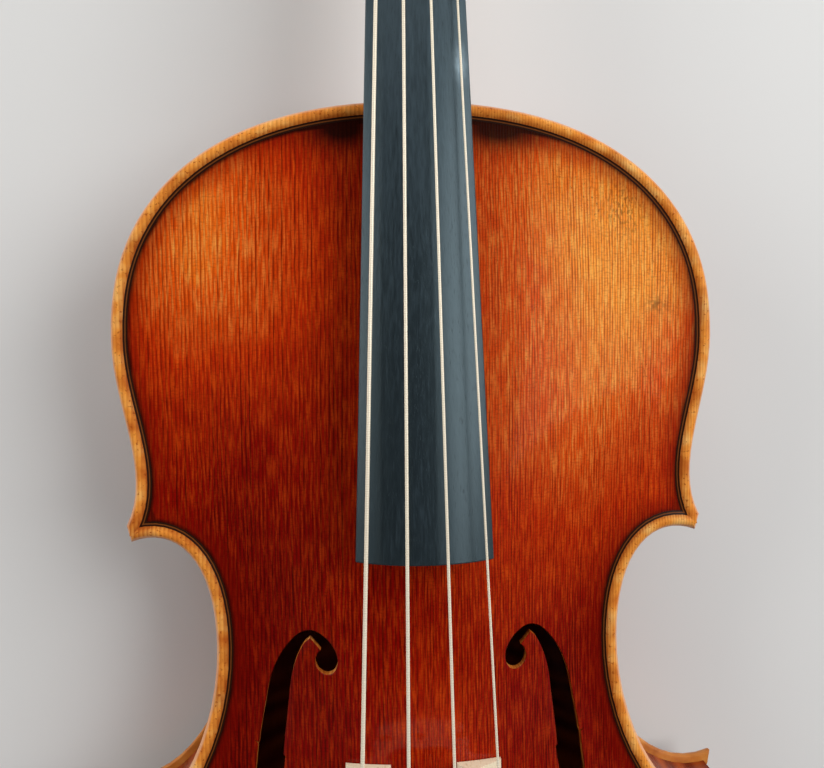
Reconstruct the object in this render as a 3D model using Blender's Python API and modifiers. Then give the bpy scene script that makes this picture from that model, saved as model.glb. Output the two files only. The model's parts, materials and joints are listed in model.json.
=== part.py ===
"""Viola of the 16 inch class, built piece by piece the way a maker assembles one.

Frame while modelling: metres, +X to the treble side, +Y from the body to the scroll, +Z out of the belly.
Y is 0 at the body's top edge and Z is 0 where the ribs meet the belly. At the end the empty that carries
every piece is moved, so that the instrument lies on its back with the middle of its box over the origin.
"""

import math

import bmesh
import bpy
import numpy as np
from mathutils import Matrix, Vector
from mathutils.geometry import delaunay_2d_cdt, interpolate_bezier

# Body outline, seen from the front
BODY_LENGTH = 0.410
UPPER_BOUT_WIDTH = 0.200
UPPER_BOUT_AT = 0.0775
UPPER_CORNER_WIDTH = 0.193
UPPER_CORNER_AT = 0.1386
WAIST_WIDTH = 0.1358
WAIST_AT = 0.180
LOWER_CORNER_WIDTH = 0.238
LOWER_CORNER_AT = 0.2435
LOWER_BOUT_WIDTH = 0.249
LOWER_BOUT_AT = 0.325
CORNER_CUT = 0.0056
BOUT_ROUNDNESS = 2.3

# Plates
EDGE_THICKNESS = 0.0042
EDGE_ROUND = 0.0016
CHANNEL_THICKNESS = 0.0032
CHANNEL_INSET = 0.009
BELLY_ARCH = 0.0185
BACK_ARCH = 0.0165
PLATE_WALL = 0.0031
PURFLING_INSET = 0.0042
PURFLING_WIDTH = 0.0013
PURFLING_DEPTH = 0.0015
BUTTON_WIDTH = 0.024
BUTTON_REACH = 0.0130

# Rib garland
RIB_HEIGHT = 0.0370
RIB_WALL = 0.0012
EDGE_OVERHANG = 0.0027
LINING_WIDTH = 0.0020
LINING_HEIGHT = 0.0075
NECK_BLOCK_WIDTH = 0.054
NECK_BLOCK_DEPTH = 0.018
END_BLOCK_WIDTH = 0.048
END_BLOCK_DEPTH = 0.015
CORNER_BLOCK_REACH = 0.022

# Sound holes, bar and post
F_EYE_ACROSS = 0.0614
F_EYE_Y = -0.1821
F_EYE_RADIUS = 0.0038
F_CENTRE = (0.0499, -0.2135)
F_LOWER_SCALE = 1.12
BAR_LENGTH = 0.300
BAR_WIDTH = 0.0055
BAR_HEIGHT = 0.0115
BAR_OFFSET = 0.0170
POST_RADIUS = 0.0032
POST_X = 0.0195
POST_BEHIND_BRIDGE = 0.0050

# Neck and fingerboard
NECK_LENGTH = 0.150
NECK_THICKNESS = 0.0195
HEEL_THICKNESS = 0.0215
MORTISE_DEPTH = 0.006
BOARD_OVERHANG = 0.1448
BOARD_END_HEIGHT = 0.038
BOARD_SLOPE = 0.125
BOARD_WIDTH_NUT = 0.0245
BOARD_WIDTH_END = 0.0418
BOARD_RADIUS = 0.039
BOARD_EDGE = 0.0050
BOARD_HOLLOW = 0.0030
NUT_LENGTH = 0.0055
NUT_RISE = 0.0006

# Pegbox and scroll
PEGBOX_WIDTH_NUT = 0.0266
PEGBOX_WIDTH_END = 0.0180
CHEEK_WALL = 0.0041
PEGBOX_FLOOR = 0.0044
PEGBOX_FRONT_WALL = 0.0022
THROAT_RADIUS = 0.0135
SCROLL_CENTRE_Z = -0.0285
SCROLL_RADIUS = 0.0240
SCROLL_EYE_RADIUS = 0.0052
SCROLL_TURNS = 2.25
SCROLL_BACK_WIDTH = 0.0130
SCROLL_EYE_WIDTH = 0.0420

# Strings, pegs and bridge
STOP_LENGTH = 0.2165
NUT_SPACING = 0.0180
BRIDGE_SPACING = 0.0398
BRIDGE_TOP_HEIGHT = 0.0529
BRIDGE_TOP_RADIUS = 0.042
BRIDGE_FOOT_SPAN = 0.0502
BRIDGE_FOOT_GAP = 0.0212
BRIDGE_FOOT_THICKNESS = 0.0046
BRIDGE_TOP_THICKNESS = 0.0018
FOOT_TOE_HEIGHT = 0.0016
HEART_HALF_WIDTH = 0.0034
HEART_HALF_HEIGHT = 0.0030
STRING_RADII = {"c": 0.00060, "g": 0.00052, "d": 0.00044, "a": 0.00036}
PEG_ORDER = ("c", "a", "g", "d")
FIRST_PEG_AT = 0.0129
PEG_SPACING = 0.0152
LAST_PEG_TO_SCROLL = 0.0275
PAST_LAST_PEG = 0.0064
PEG_RADIUS = 0.0040
PEG_FIT = 0.0004
PEG_COLLAR_GAP = 0.009
PEG_TAPER = 1 / 60
PEG_TIP_STAND = 0.0015
COLLAR_LENGTH = 0.0060
COLLAR_RADIUS = 0.0058
PEG_NECK_RADIUS = 0.0034
PEG_NECK_LENGTH = 0.0030
THUMB_LENGTH = 0.0250
THUMB_WIDTH = 0.0200
THUMB_THICKNESS = 0.0078
WINDING_TURNS = 3
WINDING_GAP = 0.00045
WINDING_SEAT = 0.00036
POINTS_A_TURN = 24
BRIDGE_BEND = 0.0012

# Tailpiece, saddle and end button
AFTER_LENGTH = 0.0620
TAIL_HEAD_PAST_FRET = 0.0040
TAIL_HEAD_DROP = 0.0022
TAILPIECE_WIDTH_HEAD = 0.0440
TAILPIECE_WIDTH_TAIL = 0.0220
TAILPIECE_WALL = 0.0048
TAILPIECE_RADIUS = 0.034
TAIL_END_RISE = 0.0067
TAIL_SPACING = 0.0300
KEYHOLE_RADIUS = 0.0021
KEYHOLE_BEHIND_FRET = 0.0085
FRET_RISE = 0.0012
FRET_THICKNESS = 0.0016
SADDLE_WIDTH = 0.036
SADDLE_DEPTH = 0.0065
SADDLE_HEIGHT = 0.0085
TAILGUT_RADIUS = 0.0009
GUT_SPAN = 0.0110
GUT_SPREAD = 0.0092
GUT_TUCK = 0.0120
BUTTON_HEAD_RADIUS = 0.0072
BUTTON_SHANK_RADIUS = 0.0040
BUTTON_STAND = 0.0125
BUTTON_SHANK_LENGTH = 0.0220

# Chin rest
CHINREST_AT = -0.050
CHINREST_LENGTH = 0.080
CHINREST_DEPTH = 0.062
CHINREST_HEIGHT = 0.0085
CHINREST_WALL = 0.0036
CHINREST_SHIFT = -0.0190
CORK_THICKNESS = 0.0020
BARREL_SPACING = 0.0280
BARREL_RADIUS = 0.0032
BARREL_LENGTH = 0.0250
STUD_RADIUS = 0.0015
CLAMP_STAND = 0.0046
STUD_ENGAGED = 0.0060
BAR_THICKNESS = 0.0020
KEY_HOLE_RADIUS = 0.0008

# Clearances
GLUE_GAP = 0.0003
WELD = 0.000002
ROUND_SIDES = 16


for leftover in list(bpy.data.objects):
    bpy.data.objects.remove(leftover, do_unlink=True)

pieces = bpy.data.collections.new("viola")
cutters = bpy.data.collections.new("viola_cutters")
for collection in (pieces, cutters):
    bpy.context.scene.collection.children.link(collection)

carrier = bpy.data.objects.new("viola_carrier", None)
pieces.objects.link(carrier)


def finish(name, colour, roughness, metallic=0.0):
    """A plain Principled material."""
    made = bpy.data.materials.new(name)
    made.use_nodes = True
    shader = made.node_tree.nodes["Principled BSDF"]
    shader.inputs["Base Color"].default_value = (*colour, 1.0)
    shader.inputs["Roughness"].default_value = roughness
    shader.inputs["Metallic"].default_value = metallic
    return made


SPRUCE_VARNISH = finish("spruce_varnish", (0.48, 0.10, 0.015), 0.30)
MAPLE_VARNISH = finish("maple_varnish", (0.42, 0.12, 0.02), 0.30)
NECK_MAPLE = finish("neck_maple", (0.55, 0.30, 0.12), 0.45)
RAW_SPRUCE = finish("raw_spruce", (0.75, 0.58, 0.36), 0.65)
PURFLING_WOOD = finish("purfling_wood", (0.05, 0.03, 0.02), 0.45)
EBONY = finish("ebony", (0.035, 0.038, 0.042), 0.35)
BRIDGE_MAPLE = finish("bridge_maple", (0.80, 0.62, 0.38), 0.5)
STRING_METAL = finish("string_metal", (0.72, 0.72, 0.70), 0.25, 0.9)
CLAMP_METAL = finish("clamp_metal", (0.75, 0.73, 0.68), 0.25, 1.0)
CORK = finish("cork", (0.55, 0.38, 0.22), 0.9)
TAILGUT_CORD = finish("tailgut_cord", (0.03, 0.03, 0.03), 0.5)


def piece(name, mesh, material, parent=carrier, location=(0, 0, 0), rotation=(0, 0, 0)):
    """A named object of the instrument, carried by the given parent."""
    made = bpy.data.objects.new(name, mesh)
    made.parent = parent
    made.location = location
    made.rotation_euler = rotation
    mesh.materials.clear()
    mesh.materials.append(material)
    pieces.objects.link(made)
    return made


def mesh_of(name, bm):
    """A mesh from a bmesh, welded and with its faces pointing out."""
    bmesh.ops.remove_doubles(bm, verts=bm.verts, dist=WELD)
    bmesh.ops.dissolve_degenerate(bm, edges=bm.edges, dist=1e-7)
    bmesh.ops.recalc_face_normals(bm, faces=bm.faces)
    mesh = bpy.data.meshes.new(name)
    bm.to_mesh(mesh)
    bm.free()
    return mesh


def prism_mesh(name, outline, low, high):
    """A flat outline given thickness along Z."""
    bm = bmesh.new()
    base = bm.faces.new([bm.verts.new((x, y, low)) for x, y in outline])
    grown = bmesh.ops.extrude_face_region(bm, geom=[base])
    top = [v for v in grown["geom"] if isinstance(v, bmesh.types.BMVert)]
    bmesh.ops.translate(bm, verts=top, vec=(0, 0, high - low))
    return mesh_of(name, bm)


def loft_mesh(name, sections):
    """A closed body through sections that have the same number of corners."""
    bm = bmesh.new()
    loops = [[bm.verts.new(corner) for corner in section] for section in sections]
    corners = len(loops[0])
    for near, far in zip(loops, loops[1:]):
        for i in range(corners):
            j = (i + 1) % corners
            bm.faces.new((near[i], near[j], far[j], far[i]))
    bm.faces.new(loops[0])
    bm.faces.new(loops[-1])
    return mesh_of(name, bm)


def box_mesh(name, low, high):
    """A plain block between two corners."""
    bm = bmesh.new()
    bmesh.ops.create_cube(bm, size=1.0)
    size = Vector(high) - Vector(low)
    bmesh.ops.scale(bm, vec=size, verts=bm.verts)
    bmesh.ops.translate(bm, vec=(Vector(high) + Vector(low)) / 2, verts=bm.verts)
    return mesh_of(name, bm)


def rod_mesh(name, near, far, length, sides=ROUND_SIDES):
    """A round rod along Z from 0, of one radius at each end."""
    bm = bmesh.new()
    bmesh.ops.create_cone(bm, cap_ends=True, segments=sides, radius1=near, radius2=far, depth=length)
    bmesh.ops.translate(bm, vec=(0, 0, length / 2), verts=bm.verts)
    return mesh_of(name, bm)


def profile_mesh(name, profile):
    """A line in the XZ plane. For a turned body it runs down the outer side, from axis to axis."""
    bm = bmesh.new()
    line = [bm.verts.new((radius, 0, height)) for radius, height in profile]
    for pair in zip(line, line[1:]):
        bm.edges.new(pair)
    mesh = bpy.data.meshes.new(name)
    bm.to_mesh(mesh)
    bm.free()
    return mesh


def turned(body, sides=ROUND_SIDES):
    """Turns an object's profile about its own Z axis."""
    lathe = body.modifiers.new("turned", "SCREW")
    lathe.axis = "Z"
    lathe.steps = sides
    lathe.render_steps = sides
    lathe.use_merge_vertices = True
    lathe.merge_threshold = WELD
    lathe.use_normal_calculate = True
    return body


def cutter(name, mesh, parent=carrier, location=(0, 0, 0), rotation=(0, 0, 0)):
    """A hidden tool for cuts and joins."""
    made = bpy.data.objects.new(name, mesh)
    made.parent = parent
    made.location = location
    made.rotation_euler = rotation
    made.hide_render = True
    made.display_type = "WIRE"
    cutters.objects.link(made)
    return made


def combine(target, tool, operation):
    """An exact Boolean of a piece with a hidden tool."""
    step = target.modifiers.new(f"{operation}_{tool.name}".lower(), "BOOLEAN")
    step.operation = operation
    step.object = tool
    step.solver = "EXACT"


def tube(name, points, radius, material, resolution=1):
    """A round cord through its points, capped at both ends."""
    curve = bpy.data.curves.new(name, "CURVE")
    curve.dimensions = "3D"
    curve.bevel_depth = radius
    curve.bevel_resolution = resolution
    curve.use_fill_caps = True
    spline = curve.splines.new("POLY")
    spline.points.add(len(points) - 1)
    for target, point in zip(spline.points, points):
        target.co = (*point, 1.0)
    made = bpy.data.objects.new(name, curve)
    made.parent = carrier
    curve.materials.append(material)
    pieces.objects.link(made)
    return made


# Outline of the body: five arms down the treble side, mirrored to the bass side


def quarter_bout(width, depth, steps):
    """A quarter of a rounded bout, from its pole on the centre line to its widest point."""
    power = 2 / BOUT_ROUNDNESS
    turns = [math.pi / 2 * i / steps for i in range(steps + 1)]
    return [(width / 2 * math.sin(t) ** power, -depth * (1 - max(math.cos(t), 0.0) ** power)) for t in turns]


def bend(start, start_handle, end_handle, end, steps):
    """A cubic curve between two points, its first point left out."""
    ends = [Vector((*start, 0)), Vector((*start_handle, 0)), Vector((*end_handle, 0)), Vector((*end, 0))]
    return [(p.x, p.y) for p in interpolate_bezier(*ends, steps + 1)][1:]


def aim(point, degrees, reach):
    """The point that lies at a distance in a direction."""
    turn = math.radians(degrees)
    return (point[0] + reach * math.cos(turn), point[1] + reach * math.sin(turn))


UPPER_TIP = (UPPER_CORNER_WIDTH / 2, -UPPER_CORNER_AT)
UPPER_HEEL = aim(UPPER_TIP, -105, CORNER_CUT)
LOWER_TIP = (LOWER_CORNER_WIDTH / 2, -LOWER_CORNER_AT)
LOWER_HEEL = aim(LOWER_TIP, -99, CORNER_CUT)
WAIST = (WAIST_WIDTH / 2, -WAIST_AT)
UPPER_WIDEST = (UPPER_BOUT_WIDTH / 2, -UPPER_BOUT_AT)
LOWER_WIDEST = (LOWER_BOUT_WIDTH / 2, -LOWER_BOUT_AT)


def outline_arms(bout_steps, bend_steps):
    """The upper bout, C-bout and lower bout lines of the treble side, each from top to bottom."""
    upper = quarter_bout(UPPER_BOUT_WIDTH, UPPER_BOUT_AT, bout_steps)
    upper += bend(
        UPPER_WIDEST, aim(UPPER_WIDEST, -90, 0.022), aim(UPPER_TIP, 117, 0.020), UPPER_TIP, bend_steps
    )
    middle = [UPPER_HEEL]
    middle += bend(UPPER_HEEL, aim(UPPER_HEEL, 159, 0.0151), aim(WAIST, 90, 0.030), WAIST, bend_steps + 1)
    middle += bend(WAIST, aim(WAIST, -90, 0.036), aim(LOWER_TIP, 201, 0.030), LOWER_TIP, bend_steps + 2)
    lower = [LOWER_HEEL]
    lower += bend(
        LOWER_HEEL, aim(LOWER_HEEL, -117, 0.018), aim(LOWER_WIDEST, 90, 0.030), LOWER_WIDEST, bend_steps
    )
    pole = quarter_bout(LOWER_BOUT_WIDTH, BODY_LENGTH - LOWER_BOUT_AT, bout_steps)
    lower += [(x, -BODY_LENGTH - y) for x, y in reversed(pole[:-1])]
    return [np.array(arm) for arm in (upper, middle, lower)]


ARMS = outline_arms(10, 5)


def shifted(line, inset):
    """A line moved square to itself towards the inside of the body."""
    along = np.gradient(line, axis=0)
    along /= np.linalg.norm(along, axis=1)[:, None]
    moved = line + inset * np.column_stack((along[:, 1], -along[:, 0]))
    moved[np.abs(line[:, 0]) < 1e-9, 0] = 0.0
    return moved


def crossing(first, second):
    """Segment numbers and the point where the tail of one line, run on a little, crosses the next."""
    tail = first[-1] + (first[-1] - first[-2]) / np.linalg.norm(first[-1] - first[-2]) * CORNER_CUT
    head = second[0] - (second[1] - second[0]) / np.linalg.norm(second[1] - second[0]) * CORNER_CUT
    longer, later = np.vstack((first, tail)), np.vstack((head, second))
    for i in range(len(longer) - 2, -1, -1):
        for j in range(len(later) - 1):
            a, b = longer[i], longer[i + 1] - longer[i]
            c, d = later[j], later[j + 1] - later[j]
            turn = b[0] * d[1] - b[1] * d[0]
            if abs(turn) < 1e-15:
                continue
            s = ((c[0] - a[0]) * d[1] - (c[1] - a[1]) * d[0]) / turn
            t = ((c[0] - a[0]) * b[1] - (c[1] - a[1]) * b[0]) / turn
            if -1e-9 <= s <= 1 + 1e-9 and -1e-9 <= t <= 1 + 1e-9:
                return min(i, len(first) - 2), max(j - 1, 0), a + s * b
    raise ValueError("the outline's arms do not meet at this inset")


MITRE_INSET = 0.0024


def half_ring(inset):
    """The treble half of the outline at an inset, with one point for each of the outline's points."""
    arms = [shifted(arm, inset) for arm in ARMS]
    if inset == 0.0:
        return np.vstack(arms)
    if inset < MITRE_INSET:
        ends = [(ARMS[0][-1], ARMS[1][0]), (ARMS[1][-1], ARMS[2][0])]
        tips = [shifted(np.array(pair), inset) for pair in ends]
        lines = [arms[0], tips[0], arms[1], tips[1], arms[2]]
    else:
        lines = arms
    for first, second in zip(lines, lines[1:]):
        i, j, point = crossing(first, second)
        first[i + 1 :] = point
        second[: j + 1] = point
    return np.vstack(arms)


def ring(inset):
    """The whole outline at an inset, as a closed loop."""
    half = half_ring(inset)
    left = half[-2:0:-1] * (-1, 1)
    return np.vstack((half, left))


def cut_arms(arms, inset):
    """Lines at an inset from three arms, each cut where it meets its neighbour in a corner."""
    lines = [shifted(arm, inset) for arm in arms]
    for k in (0, 1):
        i, j, point = crossing(lines[k], lines[k + 1])
        lines[k] = np.vstack((lines[k][: i + 1], point))
        lines[k + 1] = np.vstack((point, lines[k + 1][j + 1 :]))
    return lines


def distances(line):
    """How far along a line each of its points lies."""
    return np.concatenate(([0], np.cumsum(np.linalg.norm(np.diff(line, axis=0), axis=1))))


def spread(line, count):
    """Evenly spaced points along a line."""
    reach = distances(line)
    wanted = np.linspace(0, reach[-1], count)
    return np.column_stack((np.interp(wanted, reach, line[:, 0]), np.interp(wanted, reach, line[:, 1])))


def trimmed(line, start, end):
    """A line without its first and last stretch, with its own points kept in between."""
    reach = distances(line)
    first, last = start, reach[-1] - end
    middle = [d for d in reach if first + RIB_WALL < d < last - RIB_WALL]
    wanted = np.array([first] + middle + [last])
    return np.column_stack((np.interp(wanted, reach, line[:, 0]), np.interp(wanted, reach, line[:, 1])))


def line_length(line):
    """How long a line is."""
    return float(np.linalg.norm(np.diff(line, axis=0), axis=1).sum())


# Arching of the plates


def smooth(t):
    """A gentle rise from 0 to 1."""
    t = min(max(t, 0.0), 1.0)
    return t * t * (3 - 2 * t)


def arch_half_width(y):
    """Half the width over which a plate arches, at a station along the body."""
    upper, waist, lower = (w / 2 - CHANNEL_INSET for w in (UPPER_BOUT_WIDTH, WAIST_WIDTH, LOWER_BOUT_WIDTH))
    if y >= -UPPER_BOUT_AT:
        share = min((y + UPPER_BOUT_AT) / (UPPER_BOUT_AT - CHANNEL_INSET), 1.0)
        return upper * (1 - share**BOUT_ROUNDNESS) ** (1 / BOUT_ROUNDNESS)
    if y >= -WAIST_AT:
        return upper + (waist - upper) * smooth((-y - UPPER_BOUT_AT) / (WAIST_AT - UPPER_BOUT_AT))
    if y >= -LOWER_BOUT_AT:
        return waist + (lower - waist) * smooth((-y - WAIST_AT) / (LOWER_BOUT_AT - WAIST_AT))
    share = min((-y - LOWER_BOUT_AT) / (BODY_LENGTH - CHANNEL_INSET - LOWER_BOUT_AT), 1.0)
    return lower * (1 - share**BOUT_ROUNDNESS) ** (1 / BOUT_ROUNDNESS)


def plate_height(x, y, arch):
    """Height of a plate's outer face over its gluing face."""
    middle = BODY_LENGTH / 2
    along = min(abs(y + middle) / (middle - CHANNEL_INSET), 1.0)
    across = min(abs(x) / max(arch_half_width(y), 1e-6), 1.0)
    swell = (1 - along**2.4) ** 1.4 * (1 - across**2.3) ** 2
    return CHANNEL_THICKNESS + (arch - CHANNEL_THICKNESS) * swell


def inside(point, loop):
    """Is a point inside a closed loop?"""
    x, y = point
    px, py = loop[:, 0], loop[:, 1]
    qx, qy = np.roll(px, -1), np.roll(py, -1)
    spans = (py > y) != (qy > y)
    cross = px + (y - py) * (qx - px) / np.where(qy == py, 1e-12, qy - py)
    return bool(np.count_nonzero(spans & (x < cross)) % 2)


def distance_to(point, loop):
    """Distance from a point to a closed loop."""
    a = loop
    b = np.roll(loop, -1, axis=0) - a
    share = np.clip(((point - a) * b).sum(axis=1) / np.maximum((b * b).sum(axis=1), 1e-18), 0, 1)
    return float(np.linalg.norm(a + share[:, None] * b - point, axis=1).min())


GRID_STEP = 0.0155
GRID_MARGIN = 0.0060


def filled(loop, holes):
    """Triangles over the inside of a loop, less its holes, on a grid of extra points."""
    clean = [loop[0]]
    for point in loop[1:]:
        if np.linalg.norm(point - clean[-1]) > 1e-6:
            clean.append(point)
    loops = [np.array(clean)] + list(holes)
    coords, edges = [], []
    for border in loops:
        first = len(coords)
        coords += [Vector(p) for p in border]
        edges += [(first + i, first + (i + 1) % len(border)) for i in range(len(border))]
    columns = int(LOWER_BOUT_WIDTH / 2 / GRID_STEP) + 1
    rows = int(BODY_LENGTH / GRID_STEP) + 1
    for row in range(rows):
        for column in range(-columns, columns + 1):
            point = np.array((column * GRID_STEP, -row * GRID_STEP))
            if inside(point, loops[0]) and all(distance_to(point, border) > GRID_MARGIN for border in loops):
                if not any(inside(point, hole) for hole in loops[1:]):
                    coords.append(Vector(point))
    made = delaunay_2d_cdt(coords, edges, [], 0, 1e-9)
    points = np.array([tuple(p) for p in made[0]])
    kept = []
    for face in made[2]:
        centre = points[list(face)].mean(axis=0)
        if inside(centre, loops[0]) and not any(inside(centre, hole) for hole in loops[1:]):
            kept.append(face)
    return points, kept


GROOVE_OUTER = PURFLING_INSET - GLUE_GAP
GROOVE_INNER = PURFLING_INSET + PURFLING_WIDTH + GLUE_GAP
GROOVE_FLOOR = CHANNEL_THICKNESS - PURFLING_DEPTH - GLUE_GAP


def plate_mesh(name, arch, holes, base, up):
    """An arched plate: rounded edge, purfling groove, fluted channel, arch and hollowed inside."""
    bm = bmesh.new()
    middle_height = CHANNEL_THICKNESS + 0.4 * (EDGE_THICKNESS - CHANNEL_THICKNESS)
    levels = [
        (GROOVE_INNER, 0.0),
        (EDGE_ROUND / 2, 0.0),
        (0.0, EDGE_THICKNESS * 0.30),
        (0.0, EDGE_THICKNESS * 0.68),
        (EDGE_ROUND, EDGE_THICKNESS),
        (GROOVE_OUTER, middle_height),
        (GROOVE_OUTER, GROOVE_FLOOR),
        (GROOVE_INNER, GROOVE_FLOOR),
        (GROOVE_INNER, CHANNEL_THICKNESS),
    ]
    rings = [[bm.verts.new((x, y, height)) for x, y in ring(inset)] for inset, height in levels]
    count = len(rings[0])
    for near, far in zip(rings, rings[1:]):
        for i in range(count):
            j = (i + 1) % count
            bm.faces.new((near[i], near[j], far[j], far[i]))
    points, faces = filled(ring(GROOVE_INNER), holes)
    border = ring(GROOVE_INNER)

    def heights_at(x, y):
        if np.hypot(*(border - (x, y)).T).min() < WELD:
            return CHANNEL_THICKNESS, 0.0
        top = plate_height(x, y, arch)
        return top, max(top - PLATE_WALL, 0.0)

    heights = [heights_at(x, y) for x, y in points]
    for side in (0, 1):
        verts = [bm.verts.new((x, y, height[side])) for (x, y), height in zip(points, heights)]
        for face in faces:
            bm.faces.new([verts[i] for i in face])
    for hole in holes:
        ends = [heights_at(x, y) for x, y in hole]
        upper = [bm.verts.new((x, y, height[0])) for (x, y), height in zip(hole, ends)]
        lower = [bm.verts.new((x, y, height[1])) for (x, y), height in zip(hole, ends)]
        for i in range(len(hole)):
            j = (i + 1) % len(hole)
            bm.faces.new((upper[i], upper[j], lower[j], lower[i]))
    for vert in bm.verts:
        vert.co.z = base + up * vert.co.z
    return mesh_of(name, bm)


# Sound holes: the upper half is drawn, the lower half is the same turned about and enlarged


def sound_hole(side):
    """The closed outline of one sound hole."""
    eye = (F_EYE_ACROSS / 2, F_EYE_Y)
    stem_outer = [
        (0.0540, -0.2111), (0.0524, -0.2013), (0.0499, -0.1893), (0.0453, -0.1798), (0.0396, -0.1738),
    ]
    hook = [(0.0345, -0.1728), (0.0300, -0.1756)]
    around_eye = [aim(eye, degrees, F_EYE_RADIUS) for degrees in (165, 205, 245, 285, 325, 5, 40)]
    wing = [(0.0329, -0.1778), (0.0363, -0.1753)]
    stem_inner = [(0.0398, -0.1796), (0.0425, -0.1872), (0.0440, -0.1962), (0.0459, -0.2158)]
    upper = np.array(stem_outer + hook + around_eye + wing + stem_inner)
    centre = np.array(F_CENTRE)
    lower = centre - F_LOWER_SCALE * (upper[1:-1] - centre)
    loop = np.vstack((upper, lower))
    if side < 0:
        loop = loop[::-1] * (-1, 1)
    return loop


# Body

BELLY_FACE = GLUE_GAP
BACK_FACE = -(RIB_HEIGHT + GLUE_GAP)
BRIDGE_Y = -STOP_LENGTH


def belly_top(x, y):
    """Height of the belly's outer face."""
    return BELLY_FACE + plate_height(x, y, BELLY_ARCH)


def belly_under(x, y):
    """Height of the belly's inner face."""
    return BELLY_FACE + max(plate_height(x, y, BELLY_ARCH) - PLATE_WALL, 0.0)


def back_inner(x, y):
    """Height of the back's inner face."""
    return BACK_FACE - max(plate_height(x, y, BACK_ARCH) - PLATE_WALL, 0.0)


def board_top(y):
    """Height of the fingerboard's crown."""
    return BOARD_END_HEIGHT - BOARD_SLOPE * (y + BOARD_OVERHANG)


def board_width(y):
    """Width of the fingerboard."""
    share = (NECK_LENGTH - y) / (NECK_LENGTH + BOARD_OVERHANG)
    return BOARD_WIDTH_NUT + (BOARD_WIDTH_END - BOARD_WIDTH_NUT) * share


def crown_drop(x, radius):
    """How far a round crown falls at a distance from its middle."""
    return radius - math.sqrt(radius * radius - x * x)


def board_floor(y):
    """Height of the face by which the fingerboard is glued to the neck."""
    return board_top(y) - crown_drop(board_width(min(y, NECK_LENGTH)) / 2, BOARD_RADIUS) - BOARD_EDGE


ROOT_HALF_WIDTH = board_width(0.0) / 2 - GLUE_GAP
HEEL_TOP = board_floor(0.0) - GLUE_GAP


def heel_half_width(z):
    """Half the width of the neck's heel at a height."""
    share = min(max((HEEL_TOP - z) / (HEEL_TOP - BACK_FACE), 0.0), 1.0)
    return ROOT_HALF_WIDTH + (BUTTON_WIDTH / 2 - 0.0005 - ROOT_HALF_WIDTH) * share


def mortise_sections(clearance, reach):
    """The heel's tapered foot, grown by a clearance, from under the back's face to over the belly."""
    sections = []
    for z in (BACK_FACE, HEEL_TOP, HEEL_TOP + 0.02):
        half = heel_half_width(z) + clearance
        sections.append([(-half, -MORTISE_DEPTH - clearance, z), (half, -MORTISE_DEPTH - clearance, z),
                         (half, reach, z), (-half, reach, z)])
    return sections


mortise_cutter = cutter("mortise_cutter", loft_mesh("mortise_cutter", mortise_sections(GLUE_GAP, 0.012)))
saddle_cutter = cutter(
    "saddle_cutter",
    box_mesh(
        "saddle_cutter",
        (-SADDLE_WIDTH / 2 - GLUE_GAP, -BODY_LENGTH - 0.01, -GLUE_GAP),
        (SADDLE_WIDTH / 2 + GLUE_GAP, -BODY_LENGTH + SADDLE_DEPTH + GLUE_GAP, 0.02),
    ),
)
BUTTON_Z = -0.45 * RIB_HEIGHT
pin_cutter = cutter(
    "pin_cutter",
    rod_mesh("pin_cutter", BUTTON_SHANK_RADIUS + GLUE_GAP, BUTTON_SHANK_RADIUS + GLUE_GAP, 0.05),
    location=(0, -BODY_LENGTH - 0.02, BUTTON_Z),
    rotation=(-math.pi / 2, 0, 0),
)

holes = [sound_hole(1), sound_hole(-1)]
belly = piece("belly", plate_mesh("belly", BELLY_ARCH, holes, BELLY_FACE, 1), SPRUCE_VARNISH)
combine(belly, mortise_cutter, "DIFFERENCE")
combine(belly, saddle_cutter, "DIFFERENCE")

back = piece("back", plate_mesh("back", BACK_ARCH, [], BACK_FACE, -1), MAPLE_VARNISH)
button_turns = [math.pi * i / 12 for i in range(13)]
button_outline = [
    (BUTTON_WIDTH / 2 * math.cos(t), (BUTTON_REACH - 0.002) * math.sin(t) + 0.002) for t in button_turns
] + [(-BUTTON_WIDTH / 2, -0.002), (BUTTON_WIDTH / 2, -0.002)]
button_tool = cutter(
    "button_tool",
    prism_mesh("button_tool", button_outline, BACK_FACE - EDGE_THICKNESS * 0.9, BACK_FACE),
)
combine(back, button_tool, "UNION")


def point_at_x(near, far, x):
    """The point between two points that lies at a distance from the centre line."""
    return near + (far - near) * (x - near[0]) / (far[0] - near[0])


def purfling_half(name, base, up, side):
    """Half of an inlaid purfling line, from beside the neck to beside the saddle."""
    start = ROOT_HALF_WIDTH + 4 * GLUE_GAP
    stop = SADDLE_WIDTH / 2 + 4 * GLUE_GAP
    outer = half_ring(PURFLING_INSET)
    inner = half_ring(PURFLING_INSET + PURFLING_WIDTH)
    lines = []
    for line in (outer, inner):
        keep = [line[0]]
        for point in line[1:]:
            if np.linalg.norm(point - keep[-1]) > 1e-6:
                keep.append(point)
        keep = np.array(keep)
        top = int(np.argmax(keep[:, 0] > start))
        low = len(keep) - 1 - int(np.argmax(keep[::-1, 0] > stop))
        first = point_at_x(keep[top - 1], keep[top], start)
        last = point_at_x(keep[low], keep[low + 1], stop)
        lines.append(np.vstack((first, keep[top : low + 1], last)))
    outline = [tuple(p * (side, 1)) for p in np.vstack((lines[0], lines[1][::-1]))]
    floor = base + up * (GROOVE_FLOOR + GLUE_GAP)
    face = base + up * CHANNEL_THICKNESS
    return piece(name, prism_mesh(name, outline, min(floor, face), max(floor, face)), PURFLING_WOOD)


for side, word in ((1, "treble"), (-1, "bass")):
    purfling_half(f"purfling_belly_{word}", BELLY_FACE, 1, side)

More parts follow.
